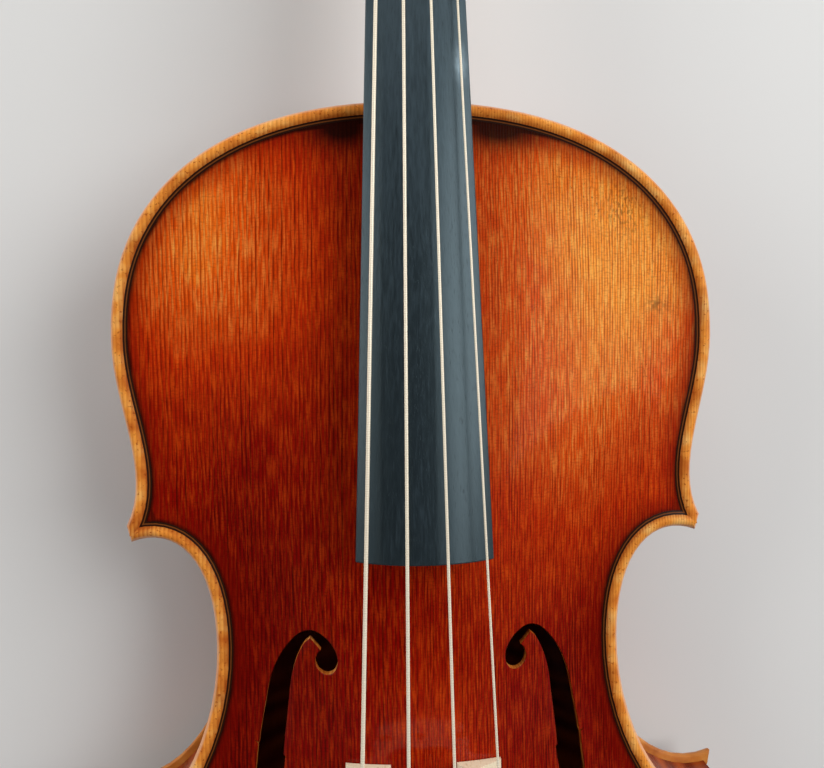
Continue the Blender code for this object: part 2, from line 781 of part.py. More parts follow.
bm = bmesh.new()
purfling_rings = [
    [bm.verts.new((x, y, BACK_FACE - height)) for x, y in ring(inset)]
    for inset, height in (
        (PURFLING_INSET, GROOVE_FLOOR + GLUE_GAP),
        (PURFLING_INSET, CHANNEL_THICKNESS),
        (PURFLING_INSET + PURFLING_WIDTH, CHANNEL_THICKNESS),
        (PURFLING_INSET + PURFLING_WIDTH, GROOVE_FLOOR + GLUE_GAP),
    )
]
for near, far in zip(purfling_rings, purfling_rings[1:] + purfling_rings[:1]):
    for i in range(len(near)):
        j = (i + 1) % len(near)
        bm.faces.new((near[i], near[j], far[j], far[i]))
piece("purfling_back", mesh_of("purfling_back", bm), PURFLING_WOOD)

# Ribs and linings follow the outline's three arms on each side

RIB_POINTS = 14
ARM_NAMES = ("upper", "centre", "lower")
garland = [spread(line, RIB_POINTS) for line in cut_arms(ARMS, EDGE_OVERHANG)]
block_lines = cut_arms(garland, RIB_WALL + GLUE_GAP)


def strip(name, line, inset, wall, heights, side, material):
    """A thin bent strip along a line of the garland."""
    outer, inner = shifted(line, inset), shifted(line, inset + wall)
    outline = [tuple(p * (side, 1)) for p in np.vstack((outer, inner[::-1]))]
    return piece(name, prism_mesh(name, outline, *heights), material)


def corner_trim(above, below):
    """How far a rib starts from its corner, to stand clear of the rib that runs into it."""
    arriving = (above[-2] - above[-1]) / np.linalg.norm(above[-2] - above[-1])
    leaving = (below[1] - below[0]) / np.linalg.norm(below[1] - below[0])
    opening = math.acos(float(arriving @ leaving))
    return (RIB_WALL + GLUE_GAP + RIB_WALL * math.cos(opening)) / math.sin(opening)


centre_trim = GLUE_GAP / 2
corner_trims = [corner_trim(above, below) for above, below in zip(garland, garland[1:])]
rib_trims = ((centre_trim, GLUE_GAP), (corner_trims[0], GLUE_GAP), (corner_trims[1], centre_trim))
lining_trims = (
    (NECK_BLOCK_WIDTH / 2 + 2 * GLUE_GAP, CORNER_BLOCK_REACH + RIB_WALL + 3 * GLUE_GAP),
    (CORNER_BLOCK_REACH + RIB_WALL + 3 * GLUE_GAP, CORNER_BLOCK_REACH + RIB_WALL + 3 * GLUE_GAP),
    (CORNER_BLOCK_REACH + RIB_WALL + 3 * GLUE_GAP, END_BLOCK_WIDTH / 2 + 2 * GLUE_GAP),
)
for side, word in ((1, "treble"), (-1, "bass")):
    for number, arm_name in enumerate(ARM_NAMES):
        rib = strip(
            f"rib_{arm_name}_{word}", trimmed(garland[number], *rib_trims[number]), 0.0, RIB_WALL,
            (-RIB_HEIGHT, 0.0), side, MAPLE_VARNISH,
        )
        if number == 0:
            combine(rib, mortise_cutter, "DIFFERENCE")
        if number == 2:
            combine(rib, pin_cutter, "DIFFERENCE")
        for level, heights in (
            ("top", (-LINING_HEIGHT, 0.0)),
            ("bottom", (-RIB_HEIGHT, -RIB_HEIGHT + LINING_HEIGHT)),
        ):
            strip(
                f"lining_{level}_{arm_name}_{word}", trimmed(garland[number], *lining_trims[number]),
                RIB_WALL + GLUE_GAP, LINING_WIDTH, heights, side, RAW_SPRUCE,
            )


def corner_block(name, above, below, side):
    """A block that fills a corner between two arms of the garland."""
    tail = trimmed(above, line_length(above) - CORNER_BLOCK_REACH, 0.0)
    head = trimmed(below, 0.0, line_length(below) - CORNER_BLOCK_REACH)
    outline = [tuple(p * (side, 1)) for p in np.vstack((tail, head[1:]))]
    piece(name, prism_mesh(name, outline, -RIB_HEIGHT, 0.0), RAW_SPRUCE)


for side, word in ((1, "treble"), (-1, "bass")):
    corner_block(f"upper_corner_block_{word}", block_lines[0], block_lines[1], side)
    corner_block(f"lower_corner_block_{word}", block_lines[1], block_lines[2], side)

GARLAND_INNER = EDGE_OVERHANG + RIB_WALL + GLUE_GAP
neck_arc = trimmed(block_lines[0], 0.0, line_length(block_lines[0]) - NECK_BLOCK_WIDTH / 2)
neck_block_face = -GARLAND_INNER - NECK_BLOCK_DEPTH
neck_outline = [tuple(p) for p in neck_arc] + [(neck_arc[-1][0], neck_block_face)]
neck_outline += [(-x, y) for x, y in reversed(neck_outline[1:])]
neck_block = piece("neck_block", prism_mesh("neck_block", neck_outline, -RIB_HEIGHT, 0.0), RAW_SPRUCE)
combine(neck_block, mortise_cutter, "DIFFERENCE")

end_arc = trimmed(block_lines[2], line_length(block_lines[2]) - END_BLOCK_WIDTH / 2, 0.0)
end_block_face = -BODY_LENGTH + GARLAND_INNER + END_BLOCK_DEPTH
end_outline = [tuple(p) for p in end_arc]
end_outline += [(-x, y) for x, y in reversed(end_outline[:-1])]
end_outline += [(end_outline[-1][0], end_block_face), (end_outline[0][0], end_block_face)]
end_block = piece("end_block", prism_mesh("end_block", end_outline, -RIB_HEIGHT, 0.0), RAW_SPRUCE)
combine(end_block, pin_cutter, "DIFFERENCE")

# Bass bar, shaped to the inside of the belly, and sound post between the plates

bar_steps = 22
bar_sections = []
for i in range(bar_steps + 1):
    share = 2 * i / bar_steps - 1
    y = -BODY_LENGTH / 2 + share * BAR_LENGTH / 2
    sides = [-BAR_OFFSET - BAR_WIDTH / 2, -BAR_OFFSET + BAR_WIDTH / 2]
    tops = [belly_under(x, y) - GLUE_GAP - 0.0002 for x in sides]
    depth = 0.003 + (BAR_HEIGHT - 0.003) * (1 - abs(share) ** 2)
    low = min(tops) - depth
    bar_sections.append([
        (sides[0], y, tops[0]), (sides[1], y, tops[1]), (sides[1], y, low), (sides[0], y, low)
    ])
piece("bass_bar", loft_mesh("bass_bar", bar_sections), RAW_SPRUCE)

post_y = BRIDGE_Y - POST_BEHIND_BRIDGE
post_around = [aim((POST_X, post_y), 360 * i / 12, POST_RADIUS) for i in range(12)]
post_rim = [
    [(x, y, back_inner(x, y) + 2 * GLUE_GAP) for x, y in post_around],
    [(x, y, belly_under(x, y) - 2 * GLUE_GAP) for x, y in post_around],
]
piece("sound_post", loft_mesh("sound_post", post_rim), RAW_SPRUCE)

# Neck: a shaft under the fingerboard, a heel in the mortise, the pegbox and the scroll


def neck_bottom(y):
    """Height of the neck's underside."""
    share = min(max(y / NECK_LENGTH, 0.0), 1.0)
    return board_top(y) - (HEEL_THICKNESS + (NECK_THICKNESS - HEEL_THICKNESS) * share)


def shaft_section(y):
    """The neck's section: flat on top, straight at the edges and round below."""
    half = board_width(min(y, NECK_LENGTH)) / 2 - GLUE_GAP
    top = board_floor(y) - GLUE_GAP
    bottom = neck_bottom(y)
    shoulder = top - 0.0015
    arc = [math.pi * i / 8 for i in range(9)]
    return [(-half, y, top), (half, y, top)] + [
        (half * math.cos(t), y, shoulder - (shoulder - bottom) * math.sin(t)) for t in arc
    ]


NUT_END = NECK_LENGTH + NUT_LENGTH
shaft_stations = [share * NECK_LENGTH for share in (0.0, 0.13, 0.33, 0.53, 0.73, 0.93, 1.0)]
shaft_stations = [-MORTISE_DEPTH, *shaft_stations, NUT_END + 0.002]
shaft_mesh = loft_mesh("neck_shaft", [shaft_section(y) for y in shaft_stations])
neck = piece("neck_and_scroll", shaft_mesh, NECK_MAPLE)

heel_levels = [0.0, 0.12, 0.30, 0.50, 0.68, 0.82, 0.92, 1.0]
heel_reaches = [0.0125, 0.0122, 0.0122, 0.0132, 0.0158, 0.0200, 0.0250, 0.0330]
heel_bottom = BACK_FACE + GLUE_GAP
heel_head = neck_bottom(0.03) + 0.006
heel_sections = []
for level, reach in zip(heel_levels, heel_reaches):
    z = heel_bottom + (heel_head - heel_bottom) * level
    half = heel_half_width(z)
    arc = [math.pi * i / 10 for i in range(11)]
    heel_sections.append(
        [(-half, -MORTISE_DEPTH, z), (half, -MORTISE_DEPTH, z)]
        + [(half * math.cos(t) * (1 - 0.04 * math.sin(t)), 0.001 + (reach - 0.001) * math.sin(t), z)
           for t in arc]
    )
heel = cutter("heel_tool", loft_mesh("heel_tool", heel_sections))

PEGBOX_START = NUT_END
PEGBOX_LENGTH = FIRST_PEG_AT + (len(PEG_ORDER) - 1) * PEG_SPACING + LAST_PEG_TO_SCROLL
SCROLL_CENTRE = (PEGBOX_START + PEGBOX_LENGTH, SCROLL_CENTRE_Z)
PEGBOX_TOP = board_floor(NUT_END) + 0.001


def pegbox_half_width(y):
    """Half the outer width of the pegbox."""
    share = min(max((y - PEGBOX_START) / (0.8 * PEGBOX_LENGTH), 0.0), 1.0)
    end = PEGBOX_WIDTH_END / 2
    half = PEGBOX_WIDTH_NUT / 2 + (end - PEGBOX_WIDTH_NUT / 2) * share
    past = min(max((y - PEGBOX_START) / PEGBOX_LENGTH - 0.8, 0.0) / 0.2, 1.0)
    return half + (SCROLL_BACK_WIDTH / 2 - 0.0002 - end) * past


def along_pegbox(shares_and_drops, tip_height):
    """Points of a pegbox edge, from shares of its length and of the fall to its tip."""
    return [
        (PEGBOX_START + share * PEGBOX_LENGTH, PEGBOX_TOP + (tip_height - PEGBOX_TOP) * drop)
        for share, drop in shares_and_drops
    ]


front_edge = along_pegbox(
    ((0.0, 0.0), (0.17, 0.07), (0.40, 0.22), (0.60, 0.43), (0.73, 0.63), (0.82, 0.84), (0.91, 0.985),
     (1.05, 1.0)),
    SCROLL_CENTRE_Z - THROAT_RADIUS,
)
back_edge = along_pegbox(
    ((-0.03, 0.29), (0.03, 0.37), (0.10, 0.475), (0.20, 0.55), (0.35, 0.615), (0.52, 0.725), (0.70, 0.85),
     (0.85, 0.955), (0.99, 0.995), (1.05, 0.975)),
    SCROLL_CENTRE_Z - SCROLL_RADIUS,
)


def height_on(edge, y):
    """Height of a pegbox edge at a station."""
    return float(np.interp(y, [p[0] for p in edge], [p[1] for p in edge]))


pegbox_sections = []
for share in (0.0, 0.05, 0.10, 0.17, 0.25, 0.35, 0.46, 0.56, 0.66, 0.74, 0.82, 0.90, 0.99, 1.05):
    y = PEGBOX_START + share * PEGBOX_LENGTH
    half, low, high = pegbox_half_width(y), height_on(back_edge, y), height_on(front_edge, y)
    pegbox_sections.append([(-half, y, low), (half, y, low), (half, y, high), (-half, y, high)])
pegbox = cutter("pegbox_tool", loft_mesh("pegbox_tool", pegbox_sections))


def cavity_half_width(y):
    """Half the width between the cheeks."""
    return pegbox_half_width(y) - CHEEK_WALL


cavity_start = PEGBOX_START + PEGBOX_FRONT_WALL
cavity_length = FIRST_PEG_AT + (len(PEG_ORDER) - 1) * PEG_SPACING + PAST_LAST_PEG - PEGBOX_FRONT_WALL
cavity_stations = [cavity_start + share * cavity_length for share in (0.0, 0.13, 0.35, 0.60, 0.84, 1.0)]
cavity_sections = []
for y in cavity_stations:
    half = cavity_half_width(y)
    low = height_on(back_edge, y) + PEGBOX_FLOOR
    high = height_on(front_edge, y) + 0.012
    cavity_sections.append([(-half, y, low), (half, y, low), (half, y, high), (-half, y, high)])
cavity = cutter("pegbox_cavity", loft_mesh("pegbox_cavity", cavity_sections))

TURN_STEPS = 22


def spiral_radius(turn):
    """Radius of the scroll's edge after a number of turns."""
    return SCROLL_RADIUS + (SCROLL_EYE_RADIUS - SCROLL_RADIUS) * (turn / SCROLL_TURNS) ** 0.86


def spiral_half_width(turn):
    """Half the width of the scroll after a number of turns."""
    share = turn / SCROLL_TURNS
    return SCROLL_BACK_WIDTH / 2 + (SCROLL_EYE_WIDTH - SCROLL_BACK_WIDTH) / 2 * share**1.35


def spiral_corner(step, lift_step, side):
    """A corner of the scroll: its edge at one step, at the width of another."""
    turn = step / TURN_STEPS
    angle = -math.pi / 2 + math.tau * turn
    radius = spiral_radius(turn)
    half = spiral_half_width(lift_step / TURN_STEPS)
    y, z = SCROLL_CENTRE
    return (side * half, y + radius * math.cos(angle), z + radius * math.sin(angle))


bm = bmesh.new()
last_step = round(SCROLL_TURNS * TURN_STEPS)
edge_verts = {
    side: [bm.verts.new(spiral_corner(step, step, side)) for step in range(last_step + 1)] for side in (-1, 1)
}
foot_verts = {
    side: {
        step: bm.verts.new(spiral_corner(step, step - TURN_STEPS, side))
        for step in range(TURN_STEPS, last_step + 1)
    }
    for side in (-1, 1)
}
low_edge, high_edge = edge_verts[-1], edge_verts[1]
for step in range(TURN_STEPS - 1):
    bm.faces.new((high_edge[step], high_edge[step + 1], low_edge[step + 1], low_edge[step]))
before, at = TURN_STEPS - 1, TURN_STEPS
bm.faces.new(
    (high_edge[before], high_edge[at], foot_verts[1][at], foot_verts[-1][at], low_edge[at], low_edge[before])
)
bm.faces.new((high_edge[0], low_edge[0], foot_verts[-1][at], foot_verts[1][at]))
for side in (-1, 1):
    tops, feet = edge_verts[side], foot_verts[side]
    for step in range(TURN_STEPS, last_step):
        bm.faces.new((feet[step], feet[step + 1], tops[step + 1], tops[step]))
        back_step = step - TURN_STEPS
        bm.faces.new((feet[step], feet[step + 1], tops[back_step + 1], tops[back_step]))
    eye = [tops[step] for step in range(last_step - TURN_STEPS, last_step + 1)] + [feet[last_step]]
    bmesh.ops.poke(bm, faces=[bm.faces.new(eye)])
scroll = cutter("scroll_tool", mesh_of("scroll_tool", bm))

combine(neck, heel, "UNION")
combine(neck, pegbox, "UNION")
combine(neck, scroll, "UNION")
combine(neck, cavity, "DIFFERENCE")

# Fingerboard and nut


def board_section(y, hollow):
    """The fingerboard's section: round on top, hollowed below beyond the neck."""
    half = board_width(y) / 2
    crown = board_top(y)
    floor = board_floor(y)
    arc = [half * (2 * i / 8 - 1) for i in range(9)]
    top = [(x, y, crown - crown_drop(x, BOARD_RADIUS)) for x in arc]
    under = [(half * s, y, floor + hollow * (1 - s**2)) for s in (0.8, 0.4, -0.4, -0.8)]
    return top + [(half, y, floor)] + under + [(-half, y, floor)]


board_stations = [
    (NECK_LENGTH - GLUE_GAP, 0.0), (0.10, 0.0), (0.05, 0.0), (-0.001, 0.0), (-0.012, BOARD_HOLLOW),
    (-0.06, BOARD_HOLLOW), (-0.10, BOARD_HOLLOW), (-BOARD_OVERHANG, BOARD_HOLLOW),
]
board_sections = [board_section(y, hollow) for y, hollow in board_stations]
piece("fingerboard", loft_mesh("fingerboard", board_sections), EBONY)

nut_half = BOARD_WIDTH_NUT / 2
nut_arc = [nut_half * (2 * i / 8 - 1) for i in range(9)]
nut_rows = []
for share, rise in ((0.0, NUT_RISE), (0.4, NUT_RISE), (1.0, NUT_RISE - 0.0033)):
    y = NECK_LENGTH + share * (NUT_LENGTH - GLUE_GAP)
    floor = board_floor(y)
    crown = [(x, y, board_top(NECK_LENGTH) - crown_drop(x, BOARD_RADIUS) + rise) for x in nut_arc]
    nut_rows.append(crown + [(nut_half, y, floor), (-nut_half, y, floor)])
piece("nut", loft_mesh("nut", nut_rows), EBONY)

# Bridge


def bridge_half_thickness(z):
    """Half the bridge's thickness at a height."""
    share = min(max((z - BELLY_ARCH) / (BRIDGE_TOP_HEIGHT - BELLY_ARCH), 0.0), 1.0)
    return (BRIDGE_FOOT_THICKNESS + (BRIDGE_TOP_THICKNESS - BRIDGE_FOOT_THICKNESS) * share) / 2


def string_place(number, spacing):
    """Where a string lies across the instrument: 0 is the C string on the bass side, 3 the A string."""
    return spacing * (number / 3 - 0.5)


foot_out, foot_in = BRIDGE_FOOT_SPAN / 2, BRIDGE_FOOT_GAP / 2
crown_z = BRIDGE_TOP_HEIGHT
foot_z = BELLY_FACE + BELLY_ARCH


def bridge_level(share):
    """A height between the belly's crown and the bridge's crown."""
    return foot_z + (crown_z - foot_z) * share


feet_line = [
    (x, max(belly_top(x, BRIDGE_Y + s * BRIDGE_FOOT_THICKNESS / 2) for s in (-1, 0, 1)) + GLUE_GAP)
    for x in (foot_in, foot_in + (foot_out - foot_in) / 3, foot_in + (foot_out - foot_in) * 2 / 3, foot_out)
]
outer_side = [(foot_out, feet_line[-1][1] + FOOT_TOE_HEIGHT)] + [
    (foot_out * across, bridge_level(up)) for across, up in (
        (0.86, 0.035), (0.71, 0.11), (0.73, 0.25), (0.84, 0.37), (0.83, 0.44), (0.66, 0.46), (0.52, 0.50),
        (0.50, 0.57), (0.62, 0.61), (0.80, 0.60), (0.92, 0.68), (0.94, 0.76),
    )
]
top_edge = [
    (x, crown_z - crown_drop(x, BRIDGE_TOP_RADIUS)) for x in (foot_out * s for s in (0.88, 0.66, 0.44, 0.22))
]
inner_side = [
    (foot_in * across, bridge_level(up)) for across, up in (
        (0.0, 0.30), (0.35, 0.335), (0.85, 0.31), (1.18, 0.22), (1.22, 0.10), (1.02, 0.035),
    )
]
half_outline = inner_side + feet_line + outer_side + top_edge
bridge_loop = half_outline + [(0.0, crown_z)] + [(-x, z) for x, z in reversed(half_outline[1:])]
heart_z = bridge_level(0.60)
heart = [
    (HEART_HALF_WIDTH * math.sin(t) ** 3, heart_z + HEART_HALF_HEIGHT * (math.cos(t) - 0.4 * math.cos(2 * t)))
    for t in (math.tau * (i + 0.5) / 12 for i in range(12))
]


def flat_piece(name, loop, openings, half_thickness, material):
    """A piece cut from a board that stands across the body, with its thickness given by its height."""
    loops = [loop] + openings
    coords, edges = [], []
    for border in loops:
        first = len(coords)
        coords += [Vector(p) for p in border]
        edges += [(first + i, first + (i + 1) % len(border)) for i in range(len(border))]
    made = delaunay_2d_cdt(coords, edges, [], 0, 1e-9)
    points = [tuple(p) for p in made[0]]
    arrays = [np.array(border) for border in loops]
    kept = []
    for face in made[2]:
        centre = np.array([points[i] for i in face]).mean(axis=0)
        if inside(centre, arrays[0]) and not any(inside(centre, hole) for hole in arrays[1:]):
            kept.append(face)
    bm = bmesh.new()
    for side in (-1, 1):
        verts = [bm.verts.new((x, BRIDGE_Y + side * half_thickness(z), z)) for x, z in points]
        for face in kept:
            bm.faces.new([verts[i] for i in face])
    for border in loops:
        near, far = (
            [bm.verts.new((x, BRIDGE_Y + side * half_thickness(z), z)) for x, z in border] for side in (-1, 1)
        )
        for i in range(len(border)):
            j = (i + 1) % len(border)
            bm.faces.new((near[i], near[j], far[j], far[i]))
    return piece(name, mesh_of(name, bm), material)


flat_piece("bridge", bridge_loop, [heart], bridge_half_thickness, BRIDGE_MAPLE)

# Tailpiece, its fret, the saddle, the end button and the tailgut

TAIL_HEAD_Y = BRIDGE_Y - AFTER_LENGTH + TAIL_HEAD_PAST_FRET
TAIL_END_Y = -BODY_LENGTH + SADDLE_DEPTH + GUT_SPAN
TAILPIECE_LENGTH = TAIL_HEAD_Y - TAIL_END_Y
tail_fall = BRIDGE_TOP_HEIGHT - TAIL_HEAD_DROP - (BELLY_FACE + SADDLE_HEIGHT + TAIL_END_RISE)
TAILPIECE_SLOPE = tail_fall / (BRIDGE_Y - TAIL_END_Y)
TAIL_HEAD_Z = BRIDGE_TOP_HEIGHT - TAIL_HEAD_DROP - TAILPIECE_SLOPE * (BRIDGE_Y - TAIL_HEAD_Y)


def tail_top(y):
    """Height of the tailpiece's crown."""
    return TAIL_HEAD_Z + TAILPIECE_SLOPE * (y - TAIL_HEAD_Y)


def tail_half_width(y):
    """Half the width of the tailpiece."""
    share = min(max((TAIL_HEAD_Y - y) / TAILPIECE_LENGTH, 0.0), 1.0)
    return (TAILPIECE_WIDTH_HEAD + (TAILPIECE_WIDTH_TAIL - TAILPIECE_WIDTH_HEAD) * smooth(share) ** 0.8) / 2


def tail_section(y, narrow):
    """The tailpiece's section: round on top and hollow below."""
    half = tail_half_width(y) * narrow
    crown = tail_top(y)
    arc = [half * (2 * i / 6 - 1) for i in range(7)]
    top = [(x, y, crown - crown_drop(x, TAILPIECE_RADIUS)) for x in arc]
    inner = [half * (1 - 2 * i / 4) for i in range(5)]
    return top + [(x, y, crown - crown_drop(x, TAILPIECE_RADIUS) - TAILPIECE_WALL) for x in inner]


tail_rows = [(0.0, 0.93), (0.03, 1.0), (0.15, 1.0), (0.4, 1.0), (0.7, 1.0), (0.96, 1.0), (1.0, 0.8)]
tail_sections = [tail_section(TAIL_HEAD_Y - share * TAILPIECE_LENGTH, narrow) for share, narrow in tail_rows]
tailpiece = piece("tailpiece", loft_mesh("tailpiece", tail_sections), EBONY)

FRET_Y = BRIDGE_Y - AFTER_LENGTH
KEYHOLE_Y = FRET_Y - KEYHOLE_BEHIND_FRET
fret_arc = [TAILPIECE_WIDTH_HEAD * 0.43 * (2 * i / 8 - 1) for i in range(9)]
fret_rows = []
for step, rise in ((0.5, FRET_RISE / 2), (0.0, FRET_RISE), (-0.5, FRET_RISE / 2)):
    y = FRET_Y + step * FRET_THICKNESS
    crown = [(x, y, tail_top(y) - crown_drop(x, TAILPIECE_RADIUS) + rise) for x in fret_arc]
    floor = [(x, y, z - rise + GLUE_GAP) for x, y, z in reversed(crown)]
    fret_rows.append(crown + floor)
piece("tailpiece_fret", loft_mesh("tailpiece_fret", fret_rows), EBONY)


def on_tailpiece(number):
    """The place on the tailpiece where a string is hitched, and the turn of its surface there."""
    x = string_place(number, TAIL_SPACING)
    surface = tail_top(KEYHOLE_Y) - crown_drop(x, TAILPIECE_RADIUS)
    along = Vector((0, 1, TAILPIECE_SLOPE)).normalized()
    outward = Vector((x / math.sqrt(TAILPIECE_RADIUS**2 - x * x), -TAILPIECE_SLOPE, 1)).normalized()
    turn = Matrix((along.cross(outward), along, outward)).transposed()
    return (x, KEYHOLE_Y, surface), turn.to_euler()


KEYHOLE_DRILL = 0.020
for number, name in enumerate(STRING_RADII):
    place, turn = on_tailpiece(number)
    drill = rod_mesh(f"keyhole_{name}", KEYHOLE_RADIUS, KEYHOLE_RADIUS, KEYHOLE_DRILL, 12)
    drill.transform(Matrix.Translation((0, 0, -KEYHOLE_DRILL / 2)))
    combine(tailpiece, cutter(f"keyhole_{name}", drill, location=place, rotation=turn), "DIFFERENCE")

saddle_half = SADDLE_WIDTH / 2
saddle_front = -BODY_LENGTH + SADDLE_DEPTH
saddle_back = -BODY_LENGTH + GLUE_GAP
saddle_base = BELLY_FACE
saddle_crest_y = saddle_front - 0.52 * SADDLE_DEPTH
saddle_profile = [(saddle_back, saddle_base), (saddle_front, saddle_base)] + [
    (y, saddle_base + SADDLE_HEIGHT * up) for y, up in (
        (saddle_front, 0.55), (saddle_front - 0.28 * SADDLE_DEPTH, 0.9), (saddle_crest_y, 1.0),
        (saddle_back + 0.18 * SADDLE_DEPTH, 0.88), (saddle_back, 0.7),
    )
]
saddle_rows = []
for share in (-1.0, -0.45, 0.45, 1.0):
    lift = 1.0 if abs(share) < 0.9 else EDGE_THICKNESS / SADDLE_HEIGHT
    saddle_rows.append([
        (share * saddle_half, y, saddle_base + (z - saddle_base) * lift) for y, z in saddle_profile
    ])
piece("saddle", loft_mesh("saddle", saddle_rows), EBONY)

RIB_END_Y = -BODY_LENGTH + EDGE_OVERHANG
shank, head = BUTTON_SHANK_RADIUS, BUTTON_HEAD_RADIUS
button_profile = [
    (0.0, BUTTON_STAND), (head * 0.75, BUTTON_STAND), (head, BUTTON_STAND * 0.86),
    (head * 0.96, BUTTON_STAND * 0.64), (head * 0.68, BUTTON_STAND * 0.5),
    (head * 0.62, BUTTON_STAND * 0.21), (head * 0.80, BUTTON_STAND * 0.13),
    (head * 0.80, GLUE_GAP), (shank, GLUE_GAP),
    (shank * 0.85, -BUTTON_SHANK_LENGTH), (0.0, -BUTTON_SHANK_LENGTH),
]
end_button = piece(
    "end_button",
    profile_mesh("end_button", button_profile),
    EBONY,
    location=(0, RIB_END_Y, BUTTON_Z),
    rotation=(math.pi / 2, 0, 0),
)
turned(end_button)

cord = TAILGUT_RADIUS
gut_x = GUT_SPREAD / 2
saddle_crest = saddle_base + SADDLE_HEIGHT + GLUE_GAP + cord


def gut_under_tail(y):
    """Height of the tailgut's middle where it lies against the underside of the tailpiece."""
    return tail_top(y) - crown_drop(gut_x, TAILPIECE_RADIUS) - TAILPIECE_WALL - cord - 2 * GLUE_GAP


loop_radius = BUTTON_HEAD_RADIUS * 0.68 + cord + GLUE_GAP
loop_y = RIB_END_Y - 0.0026 - cord - 0.0012
gut_right = [
    (gut_x, TAIL_END_Y + GUT_TUCK, gut_under_tail(TAIL_END_Y + GUT_TUCK)),
    (gut_x, TAIL_END_Y + 0.001, gut_under_tail(TAIL_END_Y)),
    (gut_x, saddle_crest_y, saddle_crest),
    (gut_x + 0.0002, saddle_back - 0.0007, saddle_crest - 0.0016),
    (gut_x + 0.0006, saddle_back - cord - 0.0006, saddle_crest - 0.0045),
    (loop_radius, loop_y - 0.0006, BUTTON_Z + 0.006),
]
gut_loop = [
    (loop_radius * math.cos(t), loop_y, BUTTON_Z + loop_radius * math.sin(t))
    for t in (-math.pi * i / 10 for i in range(11))
]
gut_left = [(-x, y, z) for x, y, z in reversed(gut_right)]
tube("tailgut", gut_right + gut_loop + gut_left, cord, TAILGUT_CORD)

# Pegs: each turns in the cheeks about its own axis, which runs across the pegbox

PEG_DEPTHS = {"c": 0.47, "a": 0.46, "g": 0.46, "d": 0.45}
PEG_SIDES = {"c": -1, "a": 1, "g": -1, "d": 1}
THUMB_TURNS = {"c": 25, "a": -40, "g": -15, "d": 50}
BORE_LENGTH = 0.060
thumb_profile = [
    (0.0, 0.5), (0.26, 0.46), (0.46, 0.24), (0.5, 0.0), (0.42, -0.28), (0.22, -0.45), (0.0, -0.5),
]


def peg_profile(half, collar):
    """A peg's outer line, from the neck under the thumb piece to the tip past the far cheek."""
    tip = -half - PEG_TIP_STAND
    neck_top = collar + COLLAR_LENGTH + PEG_NECK_LENGTH
    return [
        (0.0, neck_top), (PEG_NECK_RADIUS * 0.88, neck_top), (PEG_NECK_RADIUS, collar + COLLAR_LENGTH),
        (COLLAR_RADIUS, collar + COLLAR_LENGTH * 0.6), (COLLAR_RADIUS, collar + COLLAR_LENGTH * 0.15),
        (peg_radius(collar), collar), (peg_radius(tip), tip), (0.0, tip),
    ]


def peg_radius(along):
    """A peg's radius at a distance from the pegbox's middle, towards its head."""
    return PEG_RADIUS + along * PEG_TAPER


peg_axes = {}
for place_in_row, name in enumerate(PEG_ORDER):
    y = PEGBOX_START + FIRST_PEG_AT + place_in_row * PEG_SPACING
    front, rear = height_on(front_edge, y), height_on(back_edge, y)
    z = front + (rear - front) * PEG_DEPTHS[name]
    peg_axes[name] = (y, z)
    collar = pegbox_half_width(y) + PEG_COLLAR_GAP
    peg = piece(
        f"peg_{name}",
        profile_mesh(f"peg_{name}", peg_profile(pegbox_half_width(y), collar)),
        EBONY,
        location=(0, y, z),
        rotation=(0, PEG_SIDES[name] * math.pi / 2, 0),
    )
    turned(peg, 12)
    thumb = cutter(
        f"thumb_{name}",
        profile_mesh(f"thumb_{name}", thumb_profile),
        parent=peg,
        location=(0, 0, collar + COLLAR_LENGTH + THUMB_LENGTH / 2),
        rotation=(0, 0, math.radians(THUMB_TURNS[name])),
    )
    thumb.scale = (THUMB_WIDTH, THUMB_THICKNESS, THUMB_LENGTH)
    combine(peg, turned(thumb, 14), "UNION")
    widening = BORE_LENGTH / 2 * PEG_TAPER
    bore_middle = PEG_RADIUS + PEG_FIT
    drill = rod_mesh(f"bore_{name}", bore_middle - widening, bore_middle + widening, BORE_LENGTH)
    bore = cutter(f"bore_{name}", drill, parent=peg, location=(0, 0, -BORE_LENGTH / 2))
    combine(neck, bore, "DIFFERENCE")

# Fine tuner of the A string: a bracket on the tailpiece, its nut, a lever on a pin, and a screw that tilts it

TUNER_HALF = 0.0032
TUNER_PLATE = 0.0012
TUNER_BEHIND = 0.0045
EAR_THICKNESS = 0.0011
EAR_DEPTH = 0.0028
PIVOT_DROP = 0.0024
PIVOT_PIN_RADIUS = 0.0006
TUNER_POST_RADIUS = 0.00175
TUNER_NUT_RADIUS = 0.0034
TUNER_NUT_HEIGHT = 0.0015
TUNER_SCREW_RADIUS = 0.00085
TUNER_KNOB_RADIUS = 0.0030
TUNER_KNOB_HEIGHT = 0.0050
LEVER_THICKNESS = 0.0014
HOOK_DEPTH = 0.0022
HOOK_HEIGHT = 0.0050
HOOKED_STRING = 0.0040

place, turn = on_tailpiece(3)
tuner_carrier = bpy.data.objects.new("tuner_carrier", None)
tuner_carrier.parent = carrier
tuner_carrier.location = place
tuner_carrier.rotation_euler = turn
pieces.objects.link(tuner_carrier)


def cheek_mesh(name, outline, low, high):
    """A flat outline in the YZ plane given thickness along X."""
    mesh = prism_mesh(name, outline, low, high)
    mesh.transform(Matrix(((0, 0, 1, 0), (1, 0, 0, 0), (0, 1, 0, 0), (0, 0, 0, 1))))
    return mesh


def across(name, radius, half, y, z):
    """A rod that lies along X on the tuner."""
    mesh = rod_mesh(name, radius, radius, 2 * half, 10)
    mesh.transform(Matrix.Translation((-half, y, z)) @ Matrix.Rotation(math.pi / 2, 4, "Y"))
    return mesh


